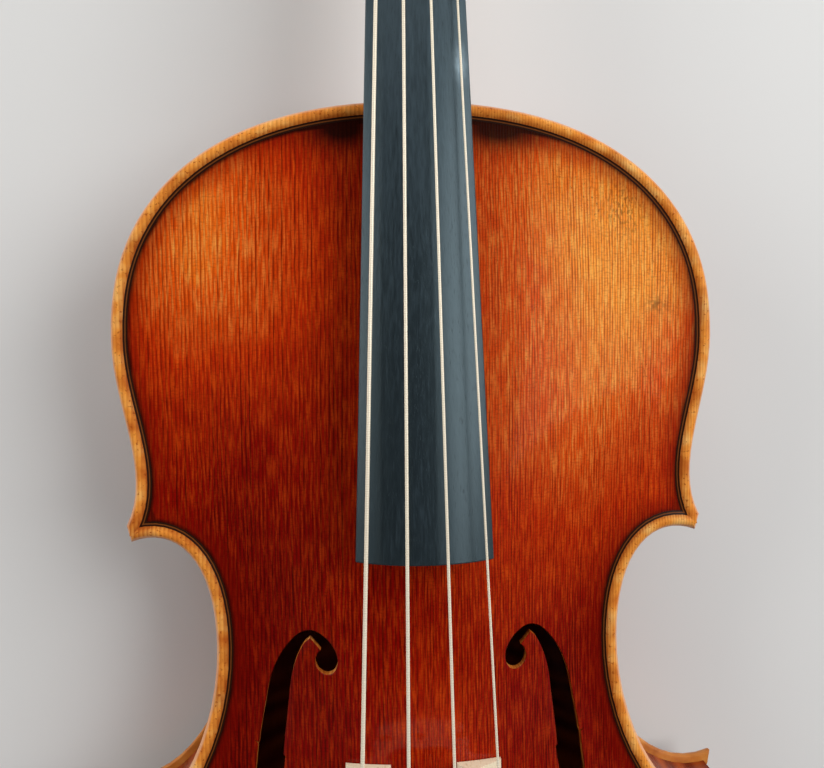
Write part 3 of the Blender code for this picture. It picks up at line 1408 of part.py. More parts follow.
head_face = (TAIL_HEAD_Y - KEYHOLE_Y) * math.hypot(1, TAILPIECE_SLOPE)
ear_near = head_face + GLUE_GAP
ear_far = ear_near + EAR_DEPTH
fret_clear = FRET_RISE + GLUE_GAP
plate_top = fret_clear + TUNER_PLATE
ear_low = -PIVOT_DROP - 0.0018
pivot_y = (ear_near + ear_far) / 2
nut_high = -TAILPIECE_WALL - 2 * GLUE_GAP
nut_low = nut_high - TUNER_NUT_HEIGHT
post_low = nut_low - GLUE_GAP
lever_high = post_low - 0.0004
lever_low = lever_high - LEVER_THICKNESS
step_y = (FRET_Y - KEYHOLE_Y) / 2

tuner_body = piece(
    "tuner_body",
    cheek_mesh(
        "tuner_body",
        [(-TUNER_BEHIND, GLUE_GAP), (step_y, GLUE_GAP), (step_y, fret_clear), (ear_far, fret_clear),
         (ear_far, plate_top), (-TUNER_BEHIND, plate_top)],
        -TUNER_HALF,
        TUNER_HALF,
    ),
    CLAMP_METAL,
    parent=tuner_carrier,
)
plate_middle = plate_top - TUNER_PLATE / 2
ears = box_mesh("tuner_ears", (-TUNER_HALF, ear_near, ear_low), (TUNER_HALF, ear_far, plate_middle))
combine(tuner_body, cutter("tuner_ears", ears, parent=tuner_carrier), "UNION")
post = rod_mesh("tuner_post", TUNER_POST_RADIUS, TUNER_POST_RADIUS, plate_middle - post_low)
combine(tuner_body, cutter("tuner_post", post, parent=tuner_carrier, location=(0, 0, post_low)), "UNION")
slot_half = TUNER_HALF - EAR_THICKNESS
slot = box_mesh("tuner_slot", (-slot_half, ear_near - 0.0005, -0.010), (slot_half, ear_far + 0.002, 0.010))
combine(tuner_body, cutter("tuner_slot", slot, parent=tuner_carrier), "DIFFERENCE")
thread_radius = TUNER_SCREW_RADIUS + GLUE_GAP
thread = rod_mesh("tuner_thread", thread_radius, thread_radius, 0.020)
thread_tool = cutter("tuner_thread", thread, parent=tuner_carrier, location=(0, 0, -0.012))
combine(tuner_body, thread_tool, "DIFFERENCE")
pin_hole = across("tuner_pin_hole", PIVOT_PIN_RADIUS + GLUE_GAP, 0.006, pivot_y, -PIVOT_DROP)
combine(tuner_body, cutter("tuner_pin_hole", pin_hole, parent=tuner_carrier), "DIFFERENCE")

tuner_nut = piece(
    "tuner_nut",
    rod_mesh("tuner_nut", TUNER_NUT_RADIUS, TUNER_NUT_RADIUS, TUNER_NUT_HEIGHT),
    CLAMP_METAL,
    parent=tuner_carrier,
    location=(0, 0, nut_low),
)
nut_bore_radius = TUNER_POST_RADIUS + GLUE_GAP
nut_bore = rod_mesh("tuner_nut_bore", nut_bore_radius, nut_bore_radius, 0.01)
nut_bore_tool = cutter("tuner_nut_bore", nut_bore, parent=tuner_carrier, location=(0, 0, nut_low - 0.002))
combine(tuner_nut, nut_bore_tool, "DIFFERENCE")

lever_half = slot_half - GLUE_GAP
hook_near, hook_far = pivot_y - HOOK_DEPTH / 2, pivot_y + HOOK_DEPTH / 2
lever_outline = [
    (-TUNER_SCREW_RADIUS * 3, lever_high), (-TUNER_SCREW_RADIUS * 3, lever_low), (hook_far, lever_low),
    (hook_far, HOOK_HEIGHT), (hook_near, HOOK_HEIGHT), (hook_near, lever_high),
]
lever_origin = Matrix.Translation((0, -pivot_y, PIVOT_DROP))
lever_mesh = cheek_mesh("tuner_lever", lever_outline, -lever_half, lever_half)
lever_mesh.transform(lever_origin)
tuner_lever = piece(
    "tuner_lever", lever_mesh, CLAMP_METAL, parent=tuner_carrier, location=(0, pivot_y, -PIVOT_DROP)
)
pin = across("tuner_pin", PIVOT_PIN_RADIUS, TUNER_HALF, 0, 0)
combine(tuner_lever, cutter("tuner_pin", pin, parent=tuner_lever), "UNION")
slit_half = STRING_RADII["a"] + 0.0004
slit_low = HOOKED_STRING - STRING_RADII["a"] - 0.0004
slit_from = (-slit_half, hook_near - 0.001, slit_low)
slit = box_mesh("tuner_slit", slit_from, (slit_half, hook_far + 0.001, HOOK_HEIGHT + 0.001))
slit.transform(lever_origin)
combine(tuner_lever, cutter("tuner_slit", slit, parent=tuner_lever), "DIFFERENCE")

head_low = plate_top + 2 * GLUE_GAP
head_high = head_low + TUNER_KNOB_HEIGHT
screw_profile = [
    (0.0, head_high), (TUNER_KNOB_RADIUS * 0.8, head_high),
    (TUNER_KNOB_RADIUS, head_high - 0.12 * TUNER_KNOB_HEIGHT),
    (TUNER_KNOB_RADIUS, head_low + 0.16 * TUNER_KNOB_HEIGHT), (TUNER_KNOB_RADIUS * 0.73, head_low),
    (TUNER_SCREW_RADIUS, head_low), (TUNER_SCREW_RADIUS, post_low), (0.0, post_low),
]
screw_mesh = profile_mesh("tuner_screw", screw_profile)
tuner_screw = piece("tuner_screw", screw_mesh, CLAMP_METAL, parent=tuner_carrier)
turned(tuner_screw, 12)

# Strings: hitched at the tailpiece, over the bridge and the nut, and wound on their pegs

carrier_place = Matrix.Translation(place) @ turn.to_matrix().to_4x4()
hooked = carrier_place @ Vector((0, pivot_y, HOOKED_STRING))


def string_route(number, name):
    """The middle line of one string, from its hitch to the end of its winding."""
    radius = STRING_RADII[name]
    nut_x = string_place(number, NUT_SPACING)
    bridge_x = string_place(number, BRIDGE_SPACING)
    tail_x = string_place(number, TAIL_SPACING)
    bridge = Vector((
        bridge_x, BRIDGE_Y, BRIDGE_TOP_HEIGHT - crown_drop(bridge_x, BRIDGE_TOP_RADIUS) + GLUE_GAP + radius
    ))
    nut_z = board_top(NECK_LENGTH) - crown_drop(nut_x, BOARD_RADIUS) + NUT_RISE + GLUE_GAP + radius
    nut_front = Vector((nut_x, NECK_LENGTH, nut_z))
    nut_back = Vector((nut_x, NECK_LENGTH + NUT_LENGTH * 0.4, nut_z))
    if name == "a":
        hitch = [hooked - (bridge - hooked).normalized() * HOOK_DEPTH]
        fret = hooked
    else:
        place, turn = on_tailpiece(number)
        hole = Matrix.Translation(place) @ turn.to_matrix().to_4x4()
        fret = Vector((tail_x, FRET_Y, tail_top(FRET_Y) - crown_drop(tail_x, TAILPIECE_RADIUS) + FRET_RISE))
        fret.z += GLUE_GAP + radius
        hitch = [hole @ Vector((0, 0, -0.9 * TAILPIECE_WALL)), hole @ Vector((0, 0, -0.0008))]
        hitch += [hole @ Vector((0, KEYHOLE_RADIUS + 0.0003, 0.0012 + radius)), fret]
    over = [bridge + (end - bridge).normalized() * BRIDGE_BEND for end in (fret, nut_front)]
    peg_y, peg_z = peg_axes[name]
    side = PEG_SIDES[name]
    pitch = 2 * radius + WINDING_GAP
    start_x = side * (cavity_half_width(peg_y) - GLUE_GAP - radius - WINDING_TURNS * pitch)
    reach = peg_radius(side * start_x) + WINDING_SEAT + radius
    away = math.hypot(peg_y - nut_back.y, peg_z - nut_back.z)
    touch = math.atan2(peg_z - nut_back.z, peg_y - nut_back.y) + math.asin(reach / away) + math.pi / 2
    coil = []
    for step in range(WINDING_TURNS * POINTS_A_TURN + 1):
        angle = touch - math.tau * step / POINTS_A_TURN
        x = start_x + side * pitch * step / POINTS_A_TURN
        coil.append(Vector((x, peg_y + reach * math.cos(angle), peg_z + reach * math.sin(angle))))
    end = coil[-1] + (coil[-1] - coil[-2]).normalized() * 2 * radius
    return hitch + over + [nut_front, nut_back] + coil + [end], coil, radius


for number, name in enumerate(STRING_RADII):
    route, coil, radius = string_route(number, name)
    tube(f"string_{name}", route, radius, STRING_METAL)
    least = min(
        (coil[i] - coil[j]).length
        for i in range(len(coil))
        for j in range(i + POINTS_A_TURN // 2, len(coil))
    )
    print(f"string_{name}: least gap between its turns {1000 * (least - 2 * radius):.2f} mm")

# Chin rest: a cupped plate whose foot is clamped over the edges by two barrels and a metal foot

edge_line = ARMS[2][::-1]
edge_y = float(np.interp(-CHINREST_AT, edge_line[:, 0], edge_line[:, 1]))
edge_step = 0.004
edge_near, edge_far = (
    float(np.interp(-CHINREST_AT + s * edge_step, edge_line[:, 0], edge_line[:, 1])) for s in (-1, 1)
)
clamp_carrier = bpy.data.objects.new("clamp_carrier", None)
clamp_carrier.parent = carrier
clamp_carrier.location = (CHINREST_AT, edge_y, 0)
clamp_carrier.rotation_euler = (0, 0, -math.atan2(edge_far - edge_near, 2 * edge_step))
pieces.objects.link(clamp_carrier)

PAD_HALF = 0.019
PAD_NEAR, PAD_FAR = 0.0018, 0.0095
belly_edge = BELLY_FACE + EDGE_THICKNESS
back_edge_face = BACK_FACE - EDGE_THICKNESS
pad_top = belly_edge + GLUE_GAP + CORK_THICKNESS
pad_bottom = back_edge_face - GLUE_GAP - CORK_THICKNESS
dish_low = pad_top + 0.0060
dish_high = dish_low + CHINREST_HEIGHT
dish_half = CHINREST_DEPTH / 2
dish_profile = [
    (0.0, dish_low + CHINREST_WALL), (dish_half * 0.40, dish_low + CHINREST_WALL + 0.0004),
    (dish_half * 0.72, dish_high - 0.0022), (dish_half * 0.93, dish_high), (dish_half, dish_high - 0.0015),
    (dish_half * 0.96, dish_low + 0.0025), (dish_half * 0.82, dish_low), (0.0, dish_low),
]
chinrest = piece(
    "chinrest",
    profile_mesh("chinrest", dish_profile),
    EBONY,
    parent=clamp_carrier,
    location=(CHINREST_SHIFT, PAD_NEAR + 0.0030 + dish_half, 0),
)
chinrest.scale = (CHINREST_LENGTH / CHINREST_DEPTH, 1, 1)
turned(chinrest, 28)
foot_low = [(-PAD_HALF, PAD_NEAR), (PAD_HALF, PAD_NEAR), (PAD_HALF, PAD_FAR), (-PAD_HALF, PAD_FAR)]
foot_high = [
    (-PAD_HALF, PAD_NEAR), (PAD_HALF * 0.6, PAD_NEAR), (PAD_HALF * 0.6, dish_half * 0.8),
    (-PAD_HALF, dish_half * 0.8),
]
foot_rows = [
    [(x, y, pad_top + GLUE_GAP) for x, y in foot_low],
    [(x, y, pad_top + 0.0035) for x, y in foot_low],
    [(x, y, dish_low + 0.0030) for x, y in foot_high],
]
foot_tool = cutter("chinrest_foot", loft_mesh("chinrest_foot", foot_rows), parent=clamp_carrier)
combine(chinrest, foot_tool, "UNION")

piece(
    "chinrest_cork",
    box_mesh("chinrest_cork", (-PAD_HALF, PAD_NEAR, belly_edge + GLUE_GAP), (PAD_HALF, PAD_FAR, pad_top)),
    CORK,
    parent=clamp_carrier,
)
piece(
    "clamp_cork",
    box_mesh("clamp_cork", (-PAD_HALF, PAD_NEAR, pad_bottom), (PAD_HALF, PAD_FAR, back_edge_face - GLUE_GAP)),
    CORK,
    parent=clamp_carrier,
)

barrel_middle = (belly_edge + back_edge_face) / 2
bar_reach = -CLAMP_STAND - STUD_RADIUS - 0.0006


def clamp_bar(name, inner_reach, low, high, stud_start, stud_end):
    """A metal bar along the edge with two threaded studs."""
    half = BARREL_SPACING / 2 + STUD_RADIUS + 0.0020
    bar = piece(
        name,
        box_mesh(name, (-half, bar_reach, low), (half, inner_reach, high)),
        CLAMP_METAL,
        parent=clamp_carrier,
    )
    for side in (-1, 1):
        stud = rod_mesh(f"{name}_stud", STUD_RADIUS, STUD_RADIUS, stud_end - stud_start, 12)
        place = (side * BARREL_SPACING / 2, -CLAMP_STAND, stud_start)
        combine(bar, cutter(f"{name}_stud", stud, parent=clamp_carrier, location=place), "UNION")


bracket_low = pad_top + 0.0012
clamp_bar(
    "clamp_bracket", PAD_NEAR - GLUE_GAP, bracket_low, bracket_low + BAR_THICKNESS,
    barrel_middle + BARREL_LENGTH / 2 - STUD_ENGAGED, bracket_low + BAR_THICKNESS / 2,
)
foot_top = pad_bottom - GLUE_GAP
clamp_bar(
    "clamp_foot", PAD_FAR, foot_top - BAR_THICKNESS, foot_top,
    foot_top - BAR_THICKNESS / 2, barrel_middle - BARREL_LENGTH / 2 + STUD_ENGAGED,
)
for side, word in ((1, "inner"), (-1, "outer")):
    name = f"clamp_barrel_{word}"
    place = (side * BARREL_SPACING / 2, -CLAMP_STAND, barrel_middle)
    half = BARREL_LENGTH / 2
    bore_radius = STUD_RADIUS + GLUE_GAP
    profile = [(bore_radius, half), (BARREL_RADIUS, half), (BARREL_RADIUS, -half), (bore_radius, -half)]
    profile += profile[:1]
    barrel = piece(name, profile_mesh(name, profile), CLAMP_METAL, parent=clamp_carrier, location=place)
    turned(barrel, 16)
    key_hole = rod_mesh(f"{name}_key_hole", KEY_HOLE_RADIUS, KEY_HOLE_RADIUS, 4 * BARREL_RADIUS, 8)
    key_hole.transform(Matrix.Rotation(math.pi / 2, 4, "X") @ Matrix.Translation((0, 0, -2 * BARREL_RADIUS)))
    combine(barrel, cutter(f"{name}_key_hole", key_hole, parent=barrel), "DIFFERENCE")

# The instrument is set down on its back, with the middle of its box over the origin

bpy.context.view_layer.update()
depsgraph = bpy.context.evaluated_depsgraph_get()
points = []
for made in pieces.objects:
    if made.type != "EMPTY":
        evaluated = made.evaluated_get(depsgraph)
        points += [evaluated.matrix_world @ vert.co for vert in evaluated.to_mesh().vertices]
        evaluated.to_mesh_clear()
lowest = Vector([min(point[axis] for point in points) for axis in range(3)])
highest = Vector([max(point[axis] for point in points) for axis in range(3)])
middle = (lowest + highest) / 2
carrier.location = (-middle.x, -middle.y, -lowest.z)
bpy.context.view_layer.update()
print("carrier at", [round(1000 * value, 3) for value in carrier.location], "mm")
print("box", [round(1000 * value, 3) for value in highest - lowest], "mm")
for made in pieces.objects:
    if made.name.startswith(("peg_", "tuner_", "clamp_")):
        axis = made.matrix_world.to_3x3() @ Vector((0, 0, 1))
        print(made.name, "at", [round(1000 * value, 3) for value in made.matrix_world.translation],
              "mm, Z axis", [round(value, 5) for value in axis])
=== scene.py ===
"""A viola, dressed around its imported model: finished shapes and finishes for every piece that shows.

Metres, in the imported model's frame: +X to the treble side, +Y from the body to the scroll, +Z out of the belly.
"""
import json
import math

import bmesh
import bpy
import numpy as np
from mathutils import Matrix, Vector
from mathutils.geometry import delaunay_2d_cdt, interpolate_bezier


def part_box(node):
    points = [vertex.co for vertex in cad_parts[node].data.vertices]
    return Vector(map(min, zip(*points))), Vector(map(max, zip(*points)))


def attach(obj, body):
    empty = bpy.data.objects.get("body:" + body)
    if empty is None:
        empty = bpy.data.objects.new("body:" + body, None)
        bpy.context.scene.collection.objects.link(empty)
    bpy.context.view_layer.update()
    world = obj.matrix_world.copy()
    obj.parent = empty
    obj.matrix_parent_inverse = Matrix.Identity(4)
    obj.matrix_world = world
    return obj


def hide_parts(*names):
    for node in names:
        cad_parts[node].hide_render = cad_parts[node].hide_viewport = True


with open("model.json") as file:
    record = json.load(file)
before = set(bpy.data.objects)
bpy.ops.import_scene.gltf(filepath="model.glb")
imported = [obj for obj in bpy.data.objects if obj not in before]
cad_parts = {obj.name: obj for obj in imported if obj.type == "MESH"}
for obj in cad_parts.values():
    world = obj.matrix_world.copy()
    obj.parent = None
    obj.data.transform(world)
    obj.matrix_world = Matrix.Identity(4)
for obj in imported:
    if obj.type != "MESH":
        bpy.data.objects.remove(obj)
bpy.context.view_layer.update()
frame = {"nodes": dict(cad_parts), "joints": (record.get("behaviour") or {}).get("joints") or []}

scene = bpy.context.scene
scene.view_settings.view_transform = "Standard"

# Studio
# A pale floor, a wide soft lamp on either side and one beyond the scroll. The camera hangs close over the upper
# bouts and looks almost straight down, as the photograph does.

FOCAL_PIXELS = 800
PHOTO_WIDTH = 824
SENSOR = 36.0
CAMERA_PLACE = (-0.0170, -0.0018, 0.3228)
CAMERA_TILT = (-2.66, -3.30, -0.55)

lens = bpy.data.cameras.new("camera")
lens.sensor_width = SENSOR
lens.lens = SENSOR * FOCAL_PIXELS / PHOTO_WIDTH
lens.clip_start = 0.01
camera = bpy.data.objects.new("camera", lens)
camera.location = CAMERA_PLACE
camera.rotation_euler = [math.radians(angle) for angle in CAMERA_TILT]
scene.collection.objects.link(camera)
scene.camera = camera


def lamp(name, place, width, height, power, tint):
    """A rectangular soft lamp that faces the middle of the instrument."""
    light = bpy.data.lights.new(name, "AREA")
    light.shape = "RECTANGLE"
    light.size, light.size_y = width, height
    light.energy = power
    light.color = tint
    made = bpy.data.objects.new(name, light)
    made.location = place
    made.rotation_euler = (-Vector(place)).to_track_quat("-Z", "Y").to_euler()
    scene.collection.objects.link(made)


lamp("lamp_bass_side", (-1.35, 0.45, 0.62), 0.9, 1.1, 11.0, (1.0, 0.99, 0.97))
lamp("lamp_treble_side", (0.95, 0.35, 1.00), 0.9, 1.0, 15.4, (0.98, 0.99, 1.0))
lamp("lamp_scroll_end", (0.00, 1.30, 0.80), 1.4, 0.8, 7.0, (1.0, 1.0, 1.0))


class Signal:
    """A shader value that Python's operators work on: each operation adds a Math node."""

    def __init__(self, tree, socket):
        self.tree = tree
        self.socket = socket

    def node(self, kind, settings, inputs, output=0):
        """A node of any kind: its settings first, then the values or links of its sockets."""
        made = self.tree.nodes.new(kind)
        for name, value in settings.items():
            if name == "stops":
                elements = made.color_ramp.elements
                while len(elements) < len(value):
                    elements.new(0.5)
                for element, (place, colour) in zip(elements, value):
                    element.position = place
                    element.color = (*colour, 1.0)
            else:
                setattr(made, name, value)
        for key, value in inputs.items():
            if isinstance(value, Signal):
                self.tree.links.new(value.socket, made.inputs[key])
            else:
                made.inputs[key].default_value = value
        return Signal(self.tree, made.outputs[output])

    def math(self, operation, other=0.0, swapped=False):
        """A Math node on this value and another."""
        pair = {0: other, 1: self} if swapped else {0: self, 1: other}
        return self.node("ShaderNodeMath", {"operation": operation}, pair)

    def __add__(self, other):
        return self.math("ADD", other)

    __radd__ = __add__

    def __sub__(self, other):
        return self.math("SUBTRACT", other)

    def __rsub__(self, other):
        return self.math("SUBTRACT", other, swapped=True)

    def __mul__(self, other):
        return self.math("MULTIPLY", other)

    __rmul__ = __mul__

    def __truediv__(self, other):
        return self.math("DIVIDE", other)

    def __abs__(self):
        return self.math("ABSOLUTE")

    def rise(self, low, high):
        """A smooth step from 0 to 1 between two values."""
        span = {"Value": self, "From Min": low, "From Max": high}
        return self.node("ShaderNodeMapRange", {"interpolation_type": "SMOOTHSTEP"}, span)

    def wave(self):
        """A wave from 0 to 1, once for each unit of this value."""
        return (self * math.tau).math("SINE") * 0.5 + 0.5

    def axis(self, number):
        """One component of a vector."""
        return self.node("ShaderNodeSeparateXYZ", {}, {0: self}, number)

    def noise(self, across, along, up, detail=2.0):
        """Noise from 0 to 1 with its own number of features per metre along each axis."""
        place = self.node("ShaderNodeVectorMath", {"operation": "MULTIPLY"}, {0: self, 1: (across, along, up)})
        return self.node("ShaderNodeTexNoise", {}, {"Vector": place, "Scale": 1.0, "Detail": detail})

    def ramp(self, *stops):
        """Greys or colours picked by this value."""
        return self.node("ShaderNodeValToRGB", {"stops": stops}, {0: self})

    def between(self, first, second):
        """A mix of two colours: the first where this value is 0, the second where it is 1."""
        colours = {0: self, 6: first, 7: second}
        for key in (6, 7):
            if not isinstance(colours[key], Signal):
                colours[key] = (*colours[key], 1.0)
        return self.node("ShaderNodeMix", {"data_type": "RGBA", "clamp_factor": True}, colours, 2)


def paint(red, green, blue):
    """A colour from its screen values of 0 to 255."""
    return tuple((value / 255 / 12.92 if value < 10.3 else ((value / 255 + 0.055) / 1.055) ** 2.4)
                 for value in (red, green, blue))


def finish(name, roughness, metallic=0.0, coat=0.0, coat_roughness=0.1, specular=0.5):
    """A new material: gives it, its shader and the signal of the place on the piece."""
    made = bpy.data.materials.new(name)
    made.use_nodes = True
    shader = made.node_tree.nodes["Principled BSDF"]
    shader.inputs["Roughness"].default_value = roughness
    shader.inputs["Metallic"].default_value = metallic
    shader.inputs["Coat Weight"].default_value = coat
    shader.inputs["Coat Roughness"].default_value = coat_roughness
    shader.inputs["Specular IOR Level"].default_value = specular
    start = made.node_tree.nodes.new("ShaderNodeTexCoord")
    return made, shader, Signal(made.node_tree, start.outputs["Object"])


def wire(shader, **signals):
    """Links signals to a shader's sockets, named with underscores for spaces."""
    for name, signal in signals.items():
        signal.tree.links.new(signal.socket, shader.inputs[name.replace("_", " ")])


def raised(place, height, depth):
    """A bump of a depth in metres where a height signal runs from 0 to 1."""
    return place.node("ShaderNodeBump", {}, {"Height": height, "Distance": depth, "Strength": 1.0})


floor_paint, floor_shader, floor_place = finish("floor_paint", 0.85)
wire(floor_shader, Base_Color=floor_place.noise(3, 3, 3).between(paint(224, 223, 220), paint(232, 231, 228)))
floor_bm = bmesh.new()
bmesh.ops.create_grid(floor_bm, x_segments=1, y_segments=1, size=6.0)
floor_mesh = bpy.data.meshes.new("floor")
floor_bm.to_mesh(floor_mesh)
floor_bm.free()
floor_mesh.materials.append(floor_paint)
floor = bpy.data.objects.new("floor", floor_mesh)
scene.collection.objects.link(floor)

sky = bpy.data.worlds.new("soft_room")
sky.use_nodes = True
scene.world = sky
sky_back = sky.node_tree.nodes["Background"]
sky_start = sky.node_tree.nodes.new("ShaderNodeTexCoord")
upward = Signal(sky.node_tree, sky_start.outputs["Generated"]).axis(2)
sky_colour = upward.ramp((0.0, (0.50, 0.50, 0.50)), (0.25, (0.30, 0.31, 0.32)), (0.60, (0.10, 0.11, 0.12)),
                         (1.0, (0.04, 0.04, 0.05)))
sky.node_tree.links.new(sky_colour.socket, sky_back.inputs["Color"])

# Outline of the body
# Belly, back, purfling and ribs all follow one line: three arms down the treble side, with a short cut across each
# corner between them, mirrored to the bass side. Y is 0 at the top edge, and Z is 0 where the ribs meet the belly.

BODY_LENGTH = 0.410
UPPER_BOUT_WIDTH = 0.200
UPPER_BOUT_AT = 0.0775
UPPER_TIP = (0.0965, -0.1386)
WAIST_WIDTH = 0.1358
WAIST_AT = 0.180
LOWER_TIP = (0.119, -0.2435)
LOWER_BOUT_WIDTH = 0.249
LOWER_BOUT_AT = 0.325
CORNER_CUT = 0.0056
BOUT_ROUNDNESS = 2.3
MITRE_INSET = 0.0024
GLUE_GAP = 0.0003
MORTISE_DEPTH = 0.006

body_at = Matrix.Translation(
    (0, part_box("neck_and_scroll")[0].y + MORTISE_DEPTH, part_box("belly")[0].z - GLUE_GAP))


def aim(point, degrees, reach):
    """The point that lies at a distance in a direction."""
    turn = math.radians(degrees)
    return (point[0] + reach * math.cos(turn), point[1] + reach * math.sin(turn))


def bend(start, start_handle, end_handle, end, steps):
    """A cubic curve between two points, its first point left out."""
    ends = [Vector((*point, 0)) for point in (start, start_handle, end_handle, end)]
    return [(p.x, p.y) for p in interpolate_bezier(*ends, steps + 1)][1:]


def quarter_bout(width, depth, steps):
    """A quarter of a rounded bout, from its pole on the centre line to its widest point."""
    power = 2 / BOUT_ROUNDNESS
    turns = [math.pi / 2 * i / steps for i in range(steps + 1)]
    return [(width / 2 * math.sin(t) ** power, -depth * (1 - max(math.cos(t), 0.0) ** power)) for t in turns]


def outline_arms(bout_steps, bend_steps):
    """The upper bout, C-bout and lower bout lines of the treble side, each from top to bottom."""
    upper_heel, lower_heel = aim(UPPER_TIP, -105, CORNER_CUT), aim(LOWER_TIP, -99, CORNER_CUT)
    waist = (WAIST_WIDTH / 2, -WAIST_AT)
    upper_wide, lower_wide = (UPPER_BOUT_WIDTH / 2, -UPPER_BOUT_AT), (LOWER_BOUT_WIDTH / 2, -LOWER_BOUT_AT)
    upper = quarter_bout(UPPER_BOUT_WIDTH, UPPER_BOUT_AT, bout_steps)
    upper += bend(upper_wide, aim(upper_wide, -90, 0.022), aim(UPPER_TIP, 117, 0.020), UPPER_TIP, bend_steps)
    middle = [upper_heel] + bend(upper_heel, aim(upper_heel, 159, 0.0151), aim(waist, 90, 0.030), waist, bend_steps)
    middle += bend(waist, aim(waist, -90, 0.036), aim(LOWER_TIP, 201, 0.030), LOWER_TIP, bend_steps)
    lower = [lower_heel]
    lower += bend(lower_heel, aim(lower_heel, -117, 0.018), aim(lower_wide, 90, 0.030), lower_wide, bend_steps)
    pole = quarter_bout(LOWER_BOUT_WIDTH, BODY_LENGTH - LOWER_BOUT_AT, bout_steps)
    lower += [(x, -BODY_LENGTH - y) for x, y in reversed(pole[:-1])]
    return [np.array(arm) for arm in (upper, middle, lower)]


ARMS = outline_arms(30, 16)


def shifted(line, inset):
    """A line moved square to itself towards the inside of the body."""
    along = np.gradient(line, axis=0)
    along /= np.linalg.norm(along, axis=1)[:, None]
    moved = line + inset * np.column_stack((along[:, 1], -along[:, 0]))
    moved[np.abs(line[:, 0]) < 1e-9, 0] = 0.0
    return moved


def crossing(first, second):
    """Where the tail of one line, run on a little, crosses the head of the next."""
    tail = first[-1] + (first[-1] - first[-2]) / np.linalg.norm(first[-1] - first[-2]) * CORNER_CUT
    head = second[0] - (second[1] - second[0]) / np.linalg.norm(second[1] - second[0]) * CORNER_CUT
    longer, later = np.vstack((first, tail)), np.vstack((head, second))
    for i in range(len(longer) - 2, -1, -1):
        for j in range(len(later) - 1):
            a, b = longer[i], longer[i + 1] - longer[i]
            c, d = later[j], later[j + 1] - later[j]
            turn = b[0] * d[1] - b[1] * d[0]
            if abs(turn) < 1e-15:
                continue
            s = ((c[0] - a[0]) * d[1] - (c[1] - a[1]) * d[0]) / turn
            t = ((c[0] - a[0]) * b[1] - (c[1] - a[1]) * b[0]) / turn
            if -1e-9 <= s <= 1 + 1e-9 and -1e-9 <= t <= 1 + 1e-9:
                return min(i, len(first) - 2), max(j - 1, 0), a + s * b
    raise ValueError("the outline's arms do not meet at this inset")


def ring(inset):
    """The whole outline at an inset, as a closed loop with the same number of points at every inset."""
    arms = [shifted(arm, inset) for arm in ARMS]
    if inset > 0:
        lines = arms
        if inset < MITRE_INSET:
            cuts = [(ARMS[0][-1], ARMS[1][0]), (ARMS[1][-1], ARMS[2][0])]
            tips = [shifted(np.array(cut), inset) for cut in cuts]
            lines = [arms[0], tips[0], arms[1], tips[1], arms[2]]
        for first, second in zip(lines, lines[1:]):
            i, j, point = crossing(first, second)
            first[i + 1 :] = point
            second[: j + 1] = point
    half = np.vstack(arms)
    return np.vstack((half, half[-2:0:-1] * (-1, 1)))


def inside(point, loop):
    """Is a point inside a closed loop?"""
    x, y = point
    px, py = loop[:, 0], loop[:, 1]
    qx, qy = np.roll(px, -1), np.roll(py, -1)
    spans = (py > y) != (qy > y)
    cross = px + (y - py) * (qx - px) / np.where(qy == py, 1e-12, qy - py)
    return bool(np.count_nonzero(spans & (x < cross)) % 2)


def distance_to(point, loop):
    """Distance from a point to a closed loop."""
    step = np.roll(loop, -1, axis=0) - loop
    share = np.clip(((point - loop) * step).sum(axis=1) / np.maximum((step * step).sum(axis=1), 1e-18), 0, 1)
    return float(np.linalg.norm(loop + share[:, None] * step - point, axis=1).min())


def shaped(name, bm, material, place=Matrix.Identity(4), crease=38):
    """An object from a bmesh, put in its place, smooth but for edges past the crease's angle."""
    bmesh.ops.remove_doubles(bm, verts=bm.verts, dist=1e-6)
    bmesh.ops.dissolve_degenerate(bm, edges=bm.edges, dist=1e-7)
    bmesh.ops.recalc_face_normals(bm, faces=bm.faces)
    mesh = bpy.data.meshes.new(name)
    bm.to_mesh(mesh)
    bm.free()
    mesh.transform(place)
    mesh.shade_smooth()
    mesh.set_sharp_from_angle(angle=math.radians(crease))
    mesh.materials.append(material)
    made = bpy.data.objects.new(name, mesh)
    scene.collection.objects.link(made)
    return made


def fitted(made, body, slot, *nodes):
    """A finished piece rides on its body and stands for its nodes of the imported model."""
    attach(made, body)
    if nodes:
        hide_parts(*nodes)
    return made


# Belly
# Two book-matched halves of quartered spruce, carved to an arch over a rounded edge and a fluted channel. Red-brown
# varnish over a golden ground, worn to gold round the edge, with soot beside the neck and soot and painted shade in
# the channel. Painted sheen lies in broad patches over the arch, with painted reflected light before the bridge,
# painted shade along the C-bouts, and a painted highlight and painted shade on the rounded edge.

CHANNEL_THICKNESS = 0.0032
CHANNEL_INSET = 0.009
BELLY_ARCH = 0.0185
PLATE_WALL = 0.0031
CHAMFER = 0.00022
GRID_STEP = 0.0026
GRID_CLEARANCE = 0.45 * GRID_STEP
FAR_INSET = 0.03
HOLE_INSET = 0.0039
EDGE_PROFILE = (
    (0.0062, 0.0), (0.0011, 0.0), (0.00045, 0.00018), (0.00008, 0.00075), (0.0, 0.0015), (0.00004, 0.0023),
    (0.00035, 0.0031), (0.00095, 0.00375), (0.0017, 0.00412), (0.0024, 0.0042), (0.0031, 0.00402),
    (0.0037, 0.00376), (0.0042, 0.00352), (0.00485, 0.00334), (0.0055, 0.00324), (0.0062, CHANNEL_THICKNESS),
)
F_CENTRE = (0.0499, -0.2135)
F_LOWER_SCALE = 1.12


def gentle(t):
    """A gentle rise from 0 to 1."""
    t = min(max(t, 0.0), 1.0)
    return t * t * (3 - 2 * t)


